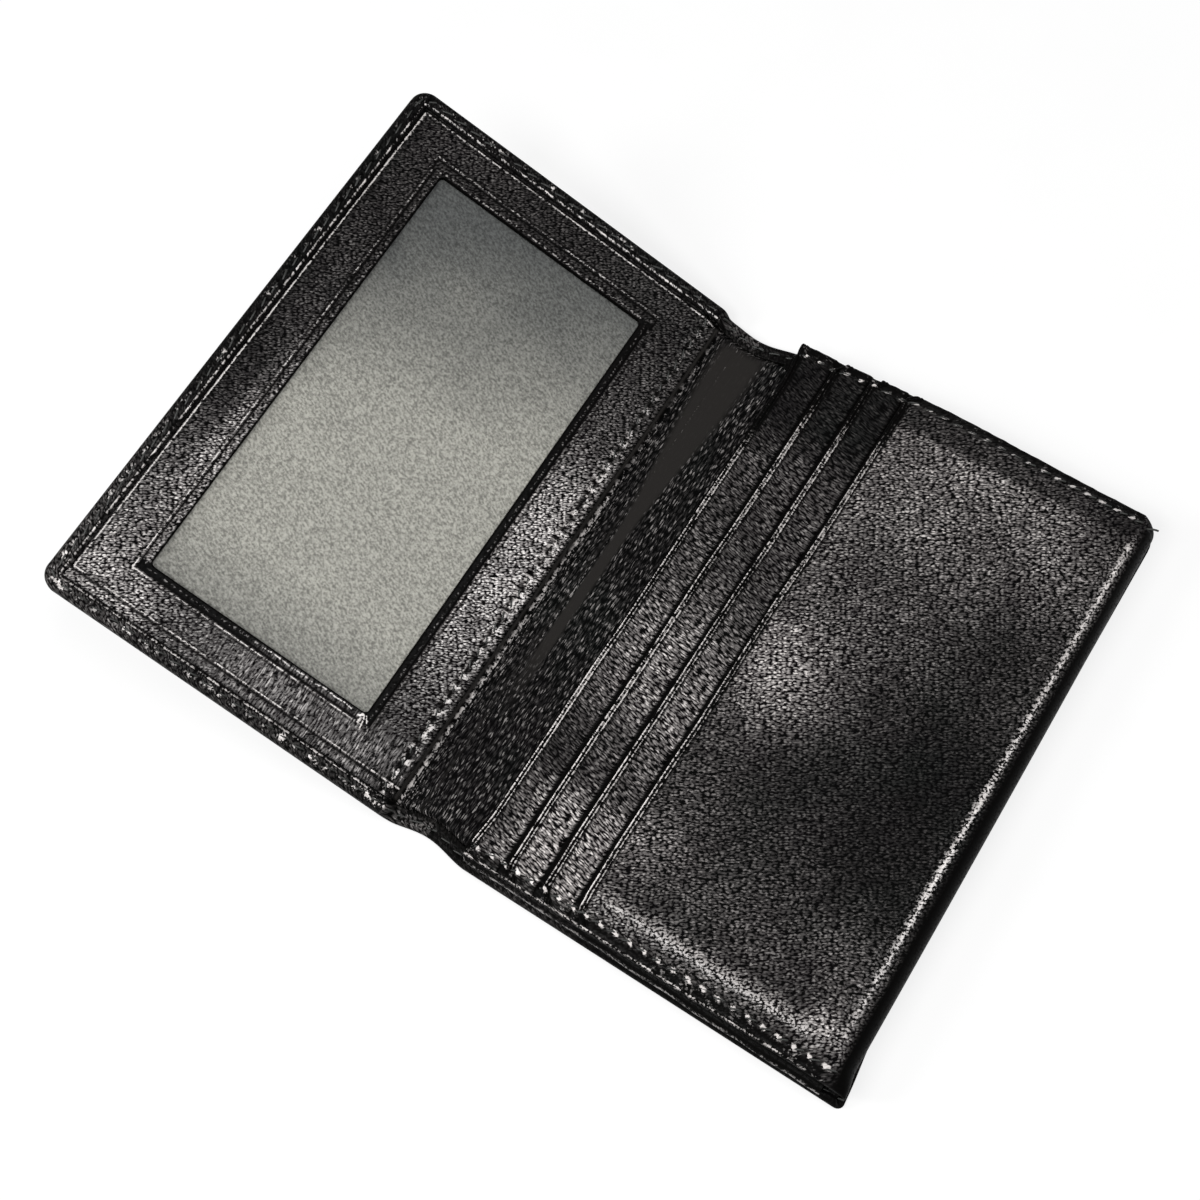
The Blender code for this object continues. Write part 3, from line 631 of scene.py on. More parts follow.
def leather(name, turn, along, across, depth, crest=0.8, wrinkles=None, smooth=0.0018,
            narrow=1.0):
    """Black grained leather: grain direction in degrees, cell size in mm, depth in mm. The crest
    argument is the grey of the painted highlights on the grain; smooth is the colour painted
    where the leather is pressed, a painted shade by default and a painted sheen on the spine.
    """
    material, tree, shader = new_finish(name, 0.4, 0.03)
    shader.inputs["Coat IOR"].default_value = 1.7
    shader.inputs["Coat Roughness"].default_value = 0.3
    place = add_node(tree, "ShaderNodeAttribute", attribute_name="hide_place")
    place = place.outputs["Vector"]
    pressed, wear_and_glint, sheen_and_gloss = (
        add_node(tree, "ShaderNodeAttribute", attribute_name=label).outputs["Fac"]
        for label in ("pressed", "wear_and_glint", "sheen_and_gloss"))
    grain = lay_grain(tree, place, pressed, turn, along, across)
    if wrinkles is not None:
        wing_x, wing_y, _ = split(tree, place)
        near = maths(tree, "MULTIPLY", ramp(tree, wing_y, -0.0385, -0.0415),
                     ramp(tree, wing_x, -0.055, -0.032, 0.0, 0.8))
        others = lay_grain(tree, place, pressed, *wrinkles)
        grain = [maths(tree, "MULTIPLY_ADD", maths(tree, "SUBTRACT", other, first), near, first)
                 for first, other in zip(grain, others)]
    height, valley_shade, crest_glints, pebbles = grain
    handled = add_node(tree, "ShaderNodeGroup", node_tree=HANDLING)
    feed(tree, handled.inputs["Place"], place)
    feed(tree, handled.inputs["Pressed"], pressed)
    polish_and_sheen = handled.outputs["Polish"]
    # Painted sheen: a lighter, warmer tint where the leather would catch light.
    sheen_tint = maths(tree, "MULTIPLY", sheen_and_gloss, 0.8 / narrow ** 2)
    # Colour of pressed leather: painted shade for the dark gaps and bands, and on the spine a
    # painted sheen.
    pressed_painted_hide = (smooth, smooth * 0.92, smooth * 0.86, 1)
    body = shade_between(tree, handled.outputs["Fading"], FRESH_HIDE, FADED_HIDE)
    for factor, colour in ((handled.outputs["Tint"], GREENISH_HIDE), (sheen_tint, PAINTED_SHEEN_HIDE),
                           (valley_shade, VALLEY_SHADE_HIDE), (pressed, pressed_painted_hide)):
        body = shade_between(tree, factor, body, colour)
    # Painted highlights on the grain and along glossy lines: they lighten the colour toward the
    # crest grey and add a glossy coat there.
    gloss_and_glint = maths(tree, "MULTIPLY", maths(tree, "POWER", crest_glints, narrow),
                    ramp(tree, polish_and_sheen, 0.3, 0.7, 0.9, 2.3))
    gloss_and_glint = maths(tree, "MULTIPLY", gloss_and_glint, sheen_and_gloss, clamp=True)
    specks = maths(tree, "MULTIPLY", noise(tree, place, 2700.0, 1.0, 0.5), 0.8)
    specks = maths(tree, "MULTIPLY_ADD", pebbles, 0.2, specks)
    # Painted highlights in dots along the glossy lines.
    rubbed_glint = ramp(tree, maths(tree, "MULTIPLY_ADD", wear_and_glint, 0.4, specks), 0.58, 0.76)
    rubbed_glint = maths(tree, "MULTIPLY", rubbed_glint, maths(tree, "MULTIPLY", wear_and_glint, 1.6, clamp=True))
    gloss_and_glint = maths(tree, "MAXIMUM", gloss_and_glint, rubbed_glint)
    feed(tree, shader.inputs["Coat Weight"], gloss_and_glint)
    body = shade_between(tree, gloss_and_glint, body, (crest, crest * 0.94, crest * 0.91, 1))
    rough = maths(tree, "MULTIPLY_ADD", valley_shade, 0.25, ramp(tree, polish_and_sheen, 0.2, 0.9, 0.5, 0.34),
                  clamp=True)
    dress(tree, shader, body, rough, height, depth)
    return material


def frosted_film():
    """Translucent frosted film, finely streaked, with a painted reflection that lightens it
    across its middle.
    """
    material, tree, shader = new_finish("frosted_film", 0.5, 0.2)
    shader.inputs["Alpha"].default_value = 0.92
    place = object_place(tree)
    film_x, film_y, _ = split(tree, place)
    # A painted reflection: a soft band of lighter colour across the film, with a wavering edge.
    wobble = maths(tree, "SUBTRACT", noise(tree, place, 45.0, 3.0, 0.6), 0.5)
    along = maths(tree, "MULTIPLY_ADD", film_x, -0.4, film_y)
    along = maths(tree, "MULTIPLY_ADD", wobble, 0.025, along)
    painted_reflection = maths(tree, "MULTIPLY", ramp(tree, along, 0.058, 0.006, 0.0, 1.1),
                   ramp(tree, film_y, -0.043, -0.022, 0.5, 1.0))
    drawn_out = vector_maths(tree, "MULTIPLY", turn_flat(tree, place, math.radians(20)),
                             (1000.0, 2600.0, 2600.0))
    streaks = noise(tree, drawn_out, 1.0, 1.0, 0.5)
    grit = maths(tree, "MULTIPLY", noise(tree, place, 2600.0, 1.0, 0.6), 0.5)
    sparkle = maths(tree, "MULTIPLY_ADD", streaks, 0.5, grit)
    # Dark film, and the lighter grey of the painted reflection.
    body = shade_between(tree, painted_reflection, (0.085, 0.089, 0.087, 1), (0.37, 0.365, 0.325, 1))
    body = vector_maths(tree, "SCALE", body, scale=ramp(tree, sparkle, 0.3, 0.7, 0.55, 1.5))
    rough = ramp(tree, sparkle, 0.35, 0.65, 0.56, 0.42)
    dress(tree, shader, body, rough, sparkle, 0.03, 0.5)
    return material


def woven_lining():
    """Matte black lining cloth."""
    material, tree, shader = new_finish("woven_lining", 0.85, 0.2)
    place = object_place(tree)
    weave = add_node(tree, "ShaderNodeGroup", node_tree=WEAVE)
    feed(tree, weave.inputs["Place"], place)
    feed(tree, weave.inputs["Thread"], 0.00032)
    body = shade_between(tree, weave.outputs["On Top"], (0.013, 0.013, 0.015, 1),
                         (0.024, 0.024, 0.026, 1))
    rough = ramp(tree, noise(tree, place, 300.0), 0.3, 0.7, 0.75, 0.95)
    dress(tree, shader, body, rough, weave.outputs["Height"], 0.06, 0.7)
    return material


def fibre_board():
    """Grey-brown stiffening board with pressed fibres."""
    material, tree, shader = new_finish("fibre_board", 0.9, 0.2)
    fibres = noise(tree, object_place(tree), 900.0, 4.0, 0.7)
    body = shade_between(tree, ramp(tree, fibres, 0.3, 0.7), (0.12, 0.105, 0.09, 1),
                         (0.2, 0.175, 0.15, 1))
    dress(tree, shader, body, ramp(tree, fibres, 0.2, 0.8, 0.98, 0.8), fibres, 0.05, 0.5)
    return material


def waxed_thread():
    """Black waxed thread with its twist."""
    material, tree, shader = new_finish("waxed_thread", 0.4, 0.5)
    shader.inputs["Coat Weight"].default_value = 0.1
    shader.inputs["Coat Roughness"].default_value = 0.3
    strands = noise(tree, object_place(tree), 5200.0, 1.0, 0.5)
    body = shade_between(tree, strands, (0.003, 0.0032, 0.003, 1), (0.03, 0.032, 0.028, 1))
    dress(tree, shader, body, ramp(tree, strands, 0.2, 0.8, 0.6, 0.35), strands, 0.04, 0.7)
    return material


COVER_LEATHER = leather("cover_leather", -50, 0.8, 0.42, 0.07)
PANEL_LEATHER = leather("panel_leather", 34, 0.74, 0.37, 0.12, wrinkles=(90, 1.5, 0.4))
STRIP_LEATHER = leather("strip_leather", -12, 1.2, 0.38, 0.12)
POCKET_LEATHER = leather("pocket_leather", 30, 0.8, 0.41, 0.12)
# The spine's pressed colour, 0.024, is a painted sheen.
SPINE_LEATHER = leather("spine_leather", 90, 1.5, 0.36, 0.12, smooth=0.024, narrow=2.0)
GUSSET_LEATHER = leather("gusset_leather", 0, 0.7, 0.4, 0.05, crest=0.5)
FILM = frosted_film()
LINING = woven_lining()
BOARD = fibre_board()
THREAD = waxed_thread()


# Cover: one hide under both wings and the spine, its edges turned over into a stitched hem
def flattening(side, corner):
    """How far the hem is flattened: only at the pocket wing's outer edge, past a corner."""
    return float(ease(corner * 1.3)) if side > 0 else 0.0


def hem_top(side, x, corner):
    """Height of the turned hem above the table, before the window wing is raised."""
    from_fold = np.abs(x) - SPINE_HALF
    if side < 0:
        return SPINE_TOP + (FRONT_TOP - SPINE_TOP) * ease((from_fold + 0.9) / 3.4)
    raised = SPINE_TOP + (BACK_TOP - SPINE_TOP) * ease((from_fold - 0.6) / 1.2)
    return raised + (OUTER_TOP - raised) * flattening(side, corner)


def hem_section(top, width, thick):
    """Section of the turned edge as (distance from the edge, height, share of the hem)."""
    radius = min(1.3, top / 2)
    points = [(RING, 0, 0), ((RING + radius) / 2, 0, 0), (radius, 0, 0)]
    for angle in np.radians([18, 36, 54, 72, 90]):
        points.append((radius * (1 - math.sin(angle)), radius * (1 - math.cos(angle)), 0))
    points.append((0, top / 2, 0))
    for angle in np.radians([0, 18, 36, 54, 72]):
        points.append((radius * (1 - math.cos(angle)), top - radius * (1 - math.sin(angle)),
                       math.sin(angle) ** 2))
    for share in np.linspace(0, 1, 11):
        points.append((radius * 0.98 + (width - 0.1 - radius * 0.98) * share, top, 1))
    points += [(width - 0.02, top - thick * 0.22, 1), (width, top - thick * 0.6, 1),
               (width - 0.08, top - thick, 1), ((width + 1.4) / 2, top - thick, 1)]
    room = top - thick - COVER_THICK
    points += [(1.35, COVER_THICK + room, 0.6), (0.9, COVER_THICK + 0.8 * room, 0.2),
               (0.8, COVER_THICK + 0.5 * room, 0), (0.9, COVER_THICK + 0.2 * room, 0),
               (1.35, COVER_THICK, 0), (RING, COVER_THICK, 0)]
    return np.array(points)


def hem_relief(along, depth, top):
    """Seam, swelling and wrinkles of the hem, by the place along the edge and from it."""
    relief = seam_pits(along, depth - HEM_SEAM, HEM_PITCH, HEM_START, 0.2)
    relief -= 0.12 * bell(depth - HEM_SEAM, 0.35)
    relief -= 0.24 * ease((depth - 1.7) / 1.1) * ease((top - 2.0) / 1.0)
    relief += 0.05 * waves(along / 3.2, depth, 0.6, 3)
    relief += 0.03 * waves(along, depth * 2, 2.4, 5)
    return relief


def cover_outline(side):
    """Samples round a cover half's edge: place, inward direction, ring share and corner."""
    reach = outer_edge(side, 0)
    s_lines = steps(0, (SPINE_HALF - 1.2, 0.4), (SPINE_HALF + 2.2, 0.17), (reach - RING, 0.36))
    s_lines /= reach - RING
    t_lines = steps(-1, (1, 0.36 / (HALF_LENGTH - RING)))[::-1]
    samples = []
    for half in (1, -1):
        edge_y = half * HALF_LENGTH
        corner_x = outer_edge(side, edge_y)
        run = []
        for share in s_lines:
            x = share * (corner_x - RING)
            run.append((x, half * (HALF_LENGTH - waist(x)), 0.0, -half, share, half, 0.0))
        radius = NEAR_CORNER_RADIUS if side > 0 and half < 0 else CORNER_RADIUS
        centre = (corner_x - radius, edge_y - half * radius)
        for turn in np.linspace(0, 90, 13):
            angle = math.radians(turn)
            way = (math.sin(angle), half * math.cos(angle))
            run.append((centre[0] + radius * way[0], centre[1] + radius * way[1],
                        -way[0], -way[1], 1.0, half, turn / 90))
        if half == 1:
            samples += run
            for share in t_lines:
                y = share * (HALF_LENGTH - RING)
                samples.append((outer_edge(side, y), y, -1.0, 0.0, 1.0, share, 1.0))
        else:
            samples += run[::-1]
    return np.array(samples), s_lines, t_lines


def inside_hem(side, share, along):
    """A place within the hem, by its shares of the way outwards and along the spine."""
    x = share * (outer_edge(side, along * (HALF_LENGTH - RING)) - RING)
    return x, along * (HALF_LENGTH - waist(x) - RING)


def make_cover(side, name, place):
    """Half of the cover, from the spine's middle to a wing's outer edge."""
    samples, s_lines, t_lines = cover_outline(side)
    gaps = np.linalg.norm(np.diff(samples[:, :2], axis=0), axis=1)
    along = np.concatenate([[0], np.cumsum(gaps)])
    strip = []
    for (x, y, inward_x, inward_y, ring_s, ring_t, corner), run in zip(samples, along):
        top = float(hem_top(side, side * x, corner))
        flattened = flattening(side, corner)
        section = hem_section(top, HEM_WIDTH - 0.7 * flattened, HEM_THICK - 0.5 * flattened)
        depth = section[:, 0]
        ring = np.array(inside_hem(side, ring_s, ring_t))
        flat = np.array([x, y]) + np.outer(np.minimum(depth, 3.0), (inward_x, inward_y))
        past = np.clip((depth - 3.0) / (RING - 3.0), 0, 1)[:, None]
        flat = flat * (1 - past) + ring * past
        shown = section[:, 2] * (1 - flattened)
        height = section[:, 1] + hem_relief(run, depth, top) * section[:, 2] * (1 - flattened)
        # Pressed smooth and painted darker; the hem's inner zone is painted shade beside its
        # edge.
        smooth = np.full(len(section), 0.45 if side < 0 else 0.95)
        smooth = np.maximum(smooth, 0.9 * ease((depth - 2.0) / 0.2) * section[:, 2])
        swell = swelling((run - HEM_START) / HEM_PITCH)
        # Painted highlights on the hem's wrinkles, stitch swellings and inner edge, brighter
        # towards the lower end, on the window side only.
        nearer = 0.12 + 0.5 * float(ease((5 - y) / 40))
        strokes = ease((waves(run + 0.8 * depth, depth * 0.4, 0.42, 7) - 0.3) / 0.4)
        strokes *= ease((waves(run, depth, 1.9, 8) + 0.35) / 0.7)
        hem_glint = (0.45 + nearer) * strokes * bell(depth - 1.3, 0.75)
        hem_glint += nearer * swell ** 2 * bell(depth - 1.1, 0.25)
        hem_glint += (0.6 + 0.4 * waves(run, 1, 0.8, 6)) * bell(depth - 2.4, 0.12)
        hem_glint *= shown * float(ease((abs(x) - 8.3) / 1.2)) * (side < 0)
        strip.append(with_wear_and_shade(side * flat[:, 0], flat[:, 1], height, smooth,
                               np.clip(hem_glint, 0, 1)))
    ladders = np.array([[inside_hem(side, share, t) for t in np.linspace(1, -1, 13)]
                        for share in s_lines])
    outer = np.array([inside_hem(side, 1.0, t) for t in t_lines])
    patches = [grid_patch(np.array(strip))]
    for height in (0.0, COVER_THICK):
        plate = with_wear_and_shade(side * ladders[..., 0], ladders[..., 1], height)
        rim = with_wear_and_shade(side * outer[:, 0], outer[:, 1], height)
        patches += [grid_patch(plate), zip_patch(plate[-1], rim)]
    return sew(name, patches, COVER_LEATHER, place)


# Window panel of the raised wing
def window_distance(x, y, mitred=False):
    """Distance from a place on the panel to the window's edge, with round or mitred corners."""
    across = np.maximum(WINDOW_LOW[0] - x, x - WINDOW_HIGH[0])
    along = np.maximum(WINDOW_LOW[1] - y, y - WINDOW_HIGH[1])
    if mitred:
        return np.maximum(across, along)
    outside = np.hypot(np.maximum(across, 0), np.maximum(along, 0))
    return outside + np.minimum(np.maximum(across, along), 0)


def round_window(x, y):
    """Move the grid's places near the window's corners onto rounded corners."""
    x, y = x.copy(), y.copy()
    for corner_x, way_x in ((WINDOW_LOW[0], 1), (WINDOW_HIGH[0], -1)):
        for corner_y, way_y in ((WINDOW_LOW[1], 1), (WINDOW_HIGH[1], -1)):
            px, py = (x - corner_x) * way_x, (y - corner_y) * way_y
            left = px <= 0
            low = py <= 0
            run = np.where(left & ~low, py, np.where(low & ~left, px, 0.0))
            angle = math.radians(45) * np.clip(1 - run / WINDOW_RADIUS, 0, 1)
            slide = np.where(run < WINDOW_RADIUS, WINDOW_RADIUS * (1 - np.sin(angle)) - run, 0)
            drop = WINDOW_RADIUS * (1 - np.cos(angle))
            away = np.hypot(np.minimum(px, 0), np.minimum(py, 0))
            fade = (1 - ease(away / 2.5)) * (left | low)
            only_left, only_low = left & ~low, low & ~left
            corner = WINDOW_RADIUS * (1 - math.sin(math.radians(45)))
            move_x = np.where(only_left, drop, np.where(only_low, slide, corner))
            move_y = np.where(only_left, slide, np.where(only_low, drop, corner))
            x += way_x * move_x * fade
            y += way_y * move_y * fade
    return x, y


def corner_folds(x, y):
    """The small folds that radiate from the window's corner near the spine, one by one."""
    from_x, from_y = x - WINDOW_HIGH[0], y - WINDOW_LOW[1]
    for turn, reach in ((-62, 2.6), (-88, 3.2), (-112, 2.4), (-140, 2.0)):
        way = (math.cos(math.radians(turn)), math.sin(math.radians(turn)))
        along = from_x * way[0] + from_y * way[1]
        aside = from_y * way[0] - from_x * way[1]
        fold = bell(aside - 0.12 * along, 0.14) * ease((along - 0.3) / 0.4)
        yield fold * ease((reach - along) / 0.8)


def panel_relief(x, y):
    """Relief of the window panel, how smooth it is pressed, with painted shade, and its gloss
    with painted highlights.
    """
    away = window_distance(x, y, mitred=True)
    crease_at = np.where(y > WINDOW_HIGH[1], 2.2, 1.65)
    relief = pressed_line(away - crease_at, 0.09, 0.17, 0.05, 0.4)
    beads = 0.5 + 0.5 * np.cos(2 * math.pi * y / 0.95 + 2 * waves(x, y, 2.0, 4))
    beside = (y > WINDOW_LOW[1]) & (y < WINDOW_HIGH[1])
    relief += 0.05 * beads * bell(away - 0.8, 0.28) * beside
    relief -= rounded_drop(window_distance(x, y), 0.3) * 1.9
    hem_line = np.minimum(np.minimum(49.15 - y, y + 47.6), x + outer_edge(-1, y) - 9.75)
    relief += pressed_line(hem_line, 0.08, 0.17, 0.07, 0.4)
    seam = x - PANEL_SEAM
    relief += seam_pits(y, seam, PANEL_PITCH, PANEL_START, 0.3)
    ladder = 0.5 + 0.5 * np.cos(2 * math.pi * (y - PANEL_START) / 0.8 + waves(x, y, 1.7, 9))
    relief += 0.06 * ladder * bell(x + 2.6, 0.75)
    relief -= rounded_drop(PANEL_FOLD - x, 0.45)
    relief -= 1.1 * ease((np.abs(y) - 46.8) / 2.4) * ease((x + 4.6) / 3.0)
    for strength, size, seed in ((0.14, 17.0, 11), (0.05, 6.0, 12), (0.02, 2.2, 13)):
        relief += strength * waves(x, y, size, seed)
    spine_side = ease((x - WINDOW_HIGH[0] + 0.2) / 0.3) * (y < WINDOW_HIGH[1] + 1)
    # Pressed smooth and painted dark: the band round the window, the lines beside the creases and
    # the hem line, and the seam's hollows.
    smooth = np.where(away < crease_at, 0.45 + 0.55 * spine_side, 0.0)
    smooth += bell(away, 0.3)
    smooth += bell(away - crease_at, 0.22)
    smooth += 0.9 * bell(away - crease_at - 0.75, 0.2)
    bottom = (y < WINDOW_LOW[1]) * (1 - ease((x + 42) / 14))
    smooth += bottom * (away < crease_at)
    smooth += bell(hem_line, 0.3)
    smooth += 0.8 * bell(hem_line - 0.75, 0.18)
    smooth += 0.5 * bell(x - PANEL_FOLD, 0.5)
    # Painted highlights along the crease, the window's beaded edge, the hem line, the corner
    # folds and the seam's swellings, brighter towards the lower end.
    nearer = 0.6 + 0.4 * ease((30 - y) / 60)
    line_glint = 0.55 + 0.45 * waves(x, y, 1.1, 14)
    wear_and_glint = bell(away - crease_at - 0.35, 0.13) * line_glint * nearer * (1 - 0.7 * spine_side)
    beaded = (1 - spine_side) * (1 - bottom) * nearer
    wear_and_glint += 0.6 * bell(away - 0.6, 0.3) * beads ** 2 * beaded
    wear_and_glint += 0.25 * spine_side * bell(away - 1.0, 0.15) * line_glint
    wear_and_glint += 0.3 * bottom * bell(away - 0.85, 0.13) * line_glint
    along_hem = 0.55 + 0.25 * waves(x, y, 1.1, 15) + 0.25 * (x < -61.5)
    wear_and_glint += bell(hem_line - 0.4, 0.14) * along_hem
    for fold in corner_folds(x, y):
        relief += 0.1 * fold
        wear_and_glint += 0.8 * fold
    swell = 0.5 - 0.5 * np.cos(2 * math.pi * (y - PANEL_START) / PANEL_PITCH + 0.8)
    blobs = ease((0.9 * waves(x, y, 0.55, 16) + 0.7 * swell - 0.2) / 0.5)
    wear_and_glint += (0.25 + 0.35 * ease((34 - y) / 20)) * blobs * bell(seam - 0.4, 1.2)
    smooth += np.maximum((1 - swell) ** 2, 1 - blobs) * bell(seam - 0.2, 0.8)
    return relief, np.clip(smooth, 0, 1), np.clip(wear_and_glint, 0, 1)


def make_window_panel():
    """Inner leather of the window wing, with the cut window and the hemmed spine edge."""
    x_lines = steps(PANEL_OUTER, (-64.2, 0.5), (-62.6, 0.12), (-57.0, 0.35), (-55.3, 0.11),
                    (-54.2, 0.1), (-12.8, 0.45), (-11.7, 0.1), (-10.4, 0.11), (-5.0, 0.35),
                    (PANEL_FOLD, 0.125))
    y_lines = steps(-PANEL_HALF, (-48.4, 0.4), (-46.9, 0.12), (-42.6, 0.35), (-41.2, 0.11),
                    (-40.2, 0.1), (41.2, 0.36), (42.2, 0.1), (44.3, 0.11), (48.4, 0.35),
                    (50.0, 0.12), (PANEL_HALF, 0.4))
    x, y = np.meshgrid(x_lines, y_lines)
    edges = ((y_lines, WINDOW_LOW[1]), (y_lines, WINDOW_HIGH[1]),
             (x_lines, WINDOW_LOW[0]), (x_lines, WINDOW_HIGH[0]))
    hole = [int(np.argmin(abs(lines - edge))) for lines, edge in edges]
    relief, smooth, wear_and_glint = panel_relief(x, y)
    x, y = round_window(x, y)
    hidden = ease((np.abs(y) - 49.6) / 0.8)
    top = with_wear_and_shade(x - SPINE_HALF, y, PANEL_TOP + relief * (1 - hidden), smooth, wear_and_glint)
    under_height = np.minimum(PANEL_TOP - INNER_THICK, top[..., 2] - 0.06)
    under = with_wear_and_shade(x - SPINE_HALF, y, under_height, smooth)
    return sew("window_panel", sheet_patches(top, under, hole), PANEL_LEATHER,
               raise_wing)


# Spine lining between the two wings
def make_spine_lining():
    """Grained strip that curves up under the window panel and goes into the pocket."""
    x_lines = steps(-8.9, (-7.9, 0.2), (-4.9, 0.1), (-3.2, 0.2), (-2.5, 0.1), (7.5, 0.3))
    y_lines = steps(-50.4, (-47.4, 0.2), (47.4, 0.35), (50.4, 0.2))
    x, y = np.meshgrid(x_lines, y_lines)
    hem_inner = HALF_LENGTH - waist(x) - HEM_WIDTH
    under_hem = ease((np.abs(y) - hem_inner + 0.7) / 0.8)
    height = FOLD_HEIGHT + 0.75 * ease((-6.9 - x) / 1.1)
    height += pressed_line(x + 3.35 + 0.12 * waves(y, 0, 9.0, 2), 0.1, 0.24, 0.06, 0.5)
    height += 0.12 * bell(x + 1.4, 1.6)
    height += 0.06 * waves(x, y, 7.0, 21)
    height += 0.03 * waves(x, y, 2.2, 22)
    height = height * (1 - under_hem) + 1.16 * under_hem
    # A painted sheen along the spine's middle, wider towards the upper end, through the spine
    # leather's pressed colour.
    widening = ease((y - 6) / 40)
    across = np.abs(x + 1.4 + 0.2 * widening) / (1.0 + 3.0 * widening)
    sheen = (1 - ease((across - 0.7) / 0.6)) * ease((y + 30) / 20) * ease((49 - y) / 3)
    smooth = 0.97 * sheen + 0.3 * bell(x + 3.3, 0.3)
    # Painted highlights on lines near the fold, brighter towards the lower end.
    low = ease((25 - y) / 20)
    wear_and_glint = (0.35 + 0.35 * low) * bell(x + 7.2, 0.32) * (0.7 + 0.5 * waves(x, y, 0.6, 23))
    for place, strength in ((-6.75, 0.6), (-6.25, 0.5), (-5.7, 0.4), (-5.1, 0.3), (-2.85, 0.35)):
        line = bell(x - place - 0.12 * waves(y, place, 7.0, 24), 0.1)
        wear_and_glint += strength * line * (0.3 + 0.7 * low) * (0.5 + 0.5 * waves(y, place, 3.0, 25))
    smooth += bell(x + 8.0, 0.35)
    top = with_wear_and_shade(x, y, height, np.clip(smooth, 0, 0.9), np.clip(wear_and_glint, 0, 1))
    under = with_wear_and_shade(x, y, np.minimum(height - 0.3, 1.05 + 0.6 * ease((-6.9 - x) / 1.1)))
    return sew("spine_strip", sheet_patches(top, under), SPINE_LEATHER,
               bend_fold)


# Card slots and backing panel: strips with a folded mouth edge
def layer_top(layer, x, y):
    """Height of a stacked layer's top, pressed thinner towards the stack's long edges."""
    pressed = seam_press(stack_side(x, y))
    return LAYER_TOPS[layer] - LAYER_SQUEEZE * layer * pressed - STACK_SQUEEZE * pressed


def stack_relief(x, y, mouth, next_mouth=200.0):
    """Relief of a strip or the front pocket, how smooth it is pressed, with painted shade, and
    its gloss with painted highlights.
    """
    side = stack_side(x, y)
    inside = x - mouth
    low = ease((12 - y) / 50)
    gap = 0.75 + 0.3 * low + 0.1 * waves(0, y, 0.6, 36)
    shaded = ease((x - next_mouth + gap) / 0.22)
    relief = 0.12 * bell(inside - 0.4, 0.16) + 0.14 * bell(inside - 0.98, 0.16)
    relief -= 0.1 * bell(inside - 0.7, 0.11)
    relief -= 0.14 * bell(inside - 1.38, 0.22)
    band = 1 - ease((side - 1.2) / 2.6)
    puckers = waves(x, y, 1.0, 31)
    relief += seam_pits(x, side - STACK_SEAM, STACK_PITCH, STACK_START, 0.36)
    relief += 0.16 * puckers * band
    relief -= 0.35 * shaded
    relief += 0.05 * waves(x, y, 8.0, 32)
    relief += 0.02 * waves(x, y, 2.0, 33)
    relief -= rounded_drop(side, 0.8)
    # Pressed smooth and painted dark: the fold, the painted shadow in the gap before the next
    # mouth, and the seam band.
    smooth = (inside < 1.2) + bell(inside - 1.2, 0.3) + shaded + 0.95 * band
    # Painted highlights on the mouth's fold and crease, on the stitch swellings and puckers, and
    # along the lower edge.
    broken = 0.75 + 0.25 * waves(x, y, 1.3, 34)
    filled = ease(waves(y, mouth, 13.0, 35) * 2)
    wear_and_glint = (0.75 + 0.3 * low) * bell(inside - 0.38, 0.12) * broken
    wear_and_glint += bell(inside - 0.98, 0.11) * (0.35 + 0.3 * low + 0.25 * filled)
    far_end = np.where(mouth < MOUTHS[0] + 1, 0.05 + ease((36 - y) / 10),
                       0.2 + 0.8 * ease((44 - y) / 7))
    wear_and_glint = (wear_and_glint + 0.3 * filled * bell(inside - 0.7, 0.14)) * ease((side - 1.5) / 2) * far_end
    swell = swelling((x - STACK_START) / STACK_PITCH + (side - STACK_SEAM) * 0.25)
    upper = (y > 0) * (0.5 + 0.4 * ease((x - 42) / 18))
    lower = (y < 0) * 0.8
    wear_and_glint += 2.4 * (upper + lower) * swell ** 6 * bell(side - STACK_SEAM + 0.1, 0.3)
    wear_and_glint += 0.4 * np.clip(puckers, 0, 1) ** 2 * bell(side - 1.2, 0.8) * (lower + upper)
    wear_and_glint += (y < 0) * bell(side - 0.3, 0.15) * (0.5 + 0.35 * waves(x, 0, 1.2, 37))
    return relief, np.clip(smooth, 0, 1), np.clip(wear_and_glint, 0, 1)


def mouth_line(layer, y):
    """Where a strip's mouth edge runs: straight, a little bowed, and tucked in at its ends."""
    start = MOUTHS[layer]
    side = np.minimum(y - STACK_LOWER, stack_upper(start) - y)
    if layer == 0:
        return start - 0.75 * (1 - ease(side / 9.0)) + 0.1 * waves(y, 0, 12.0, 41)
    tuck = 1.3 * (1 - ease((side - 0.4) / 1.9))
    return start + tuck + 0.12 * waves(y, layer, 11.0, 42)


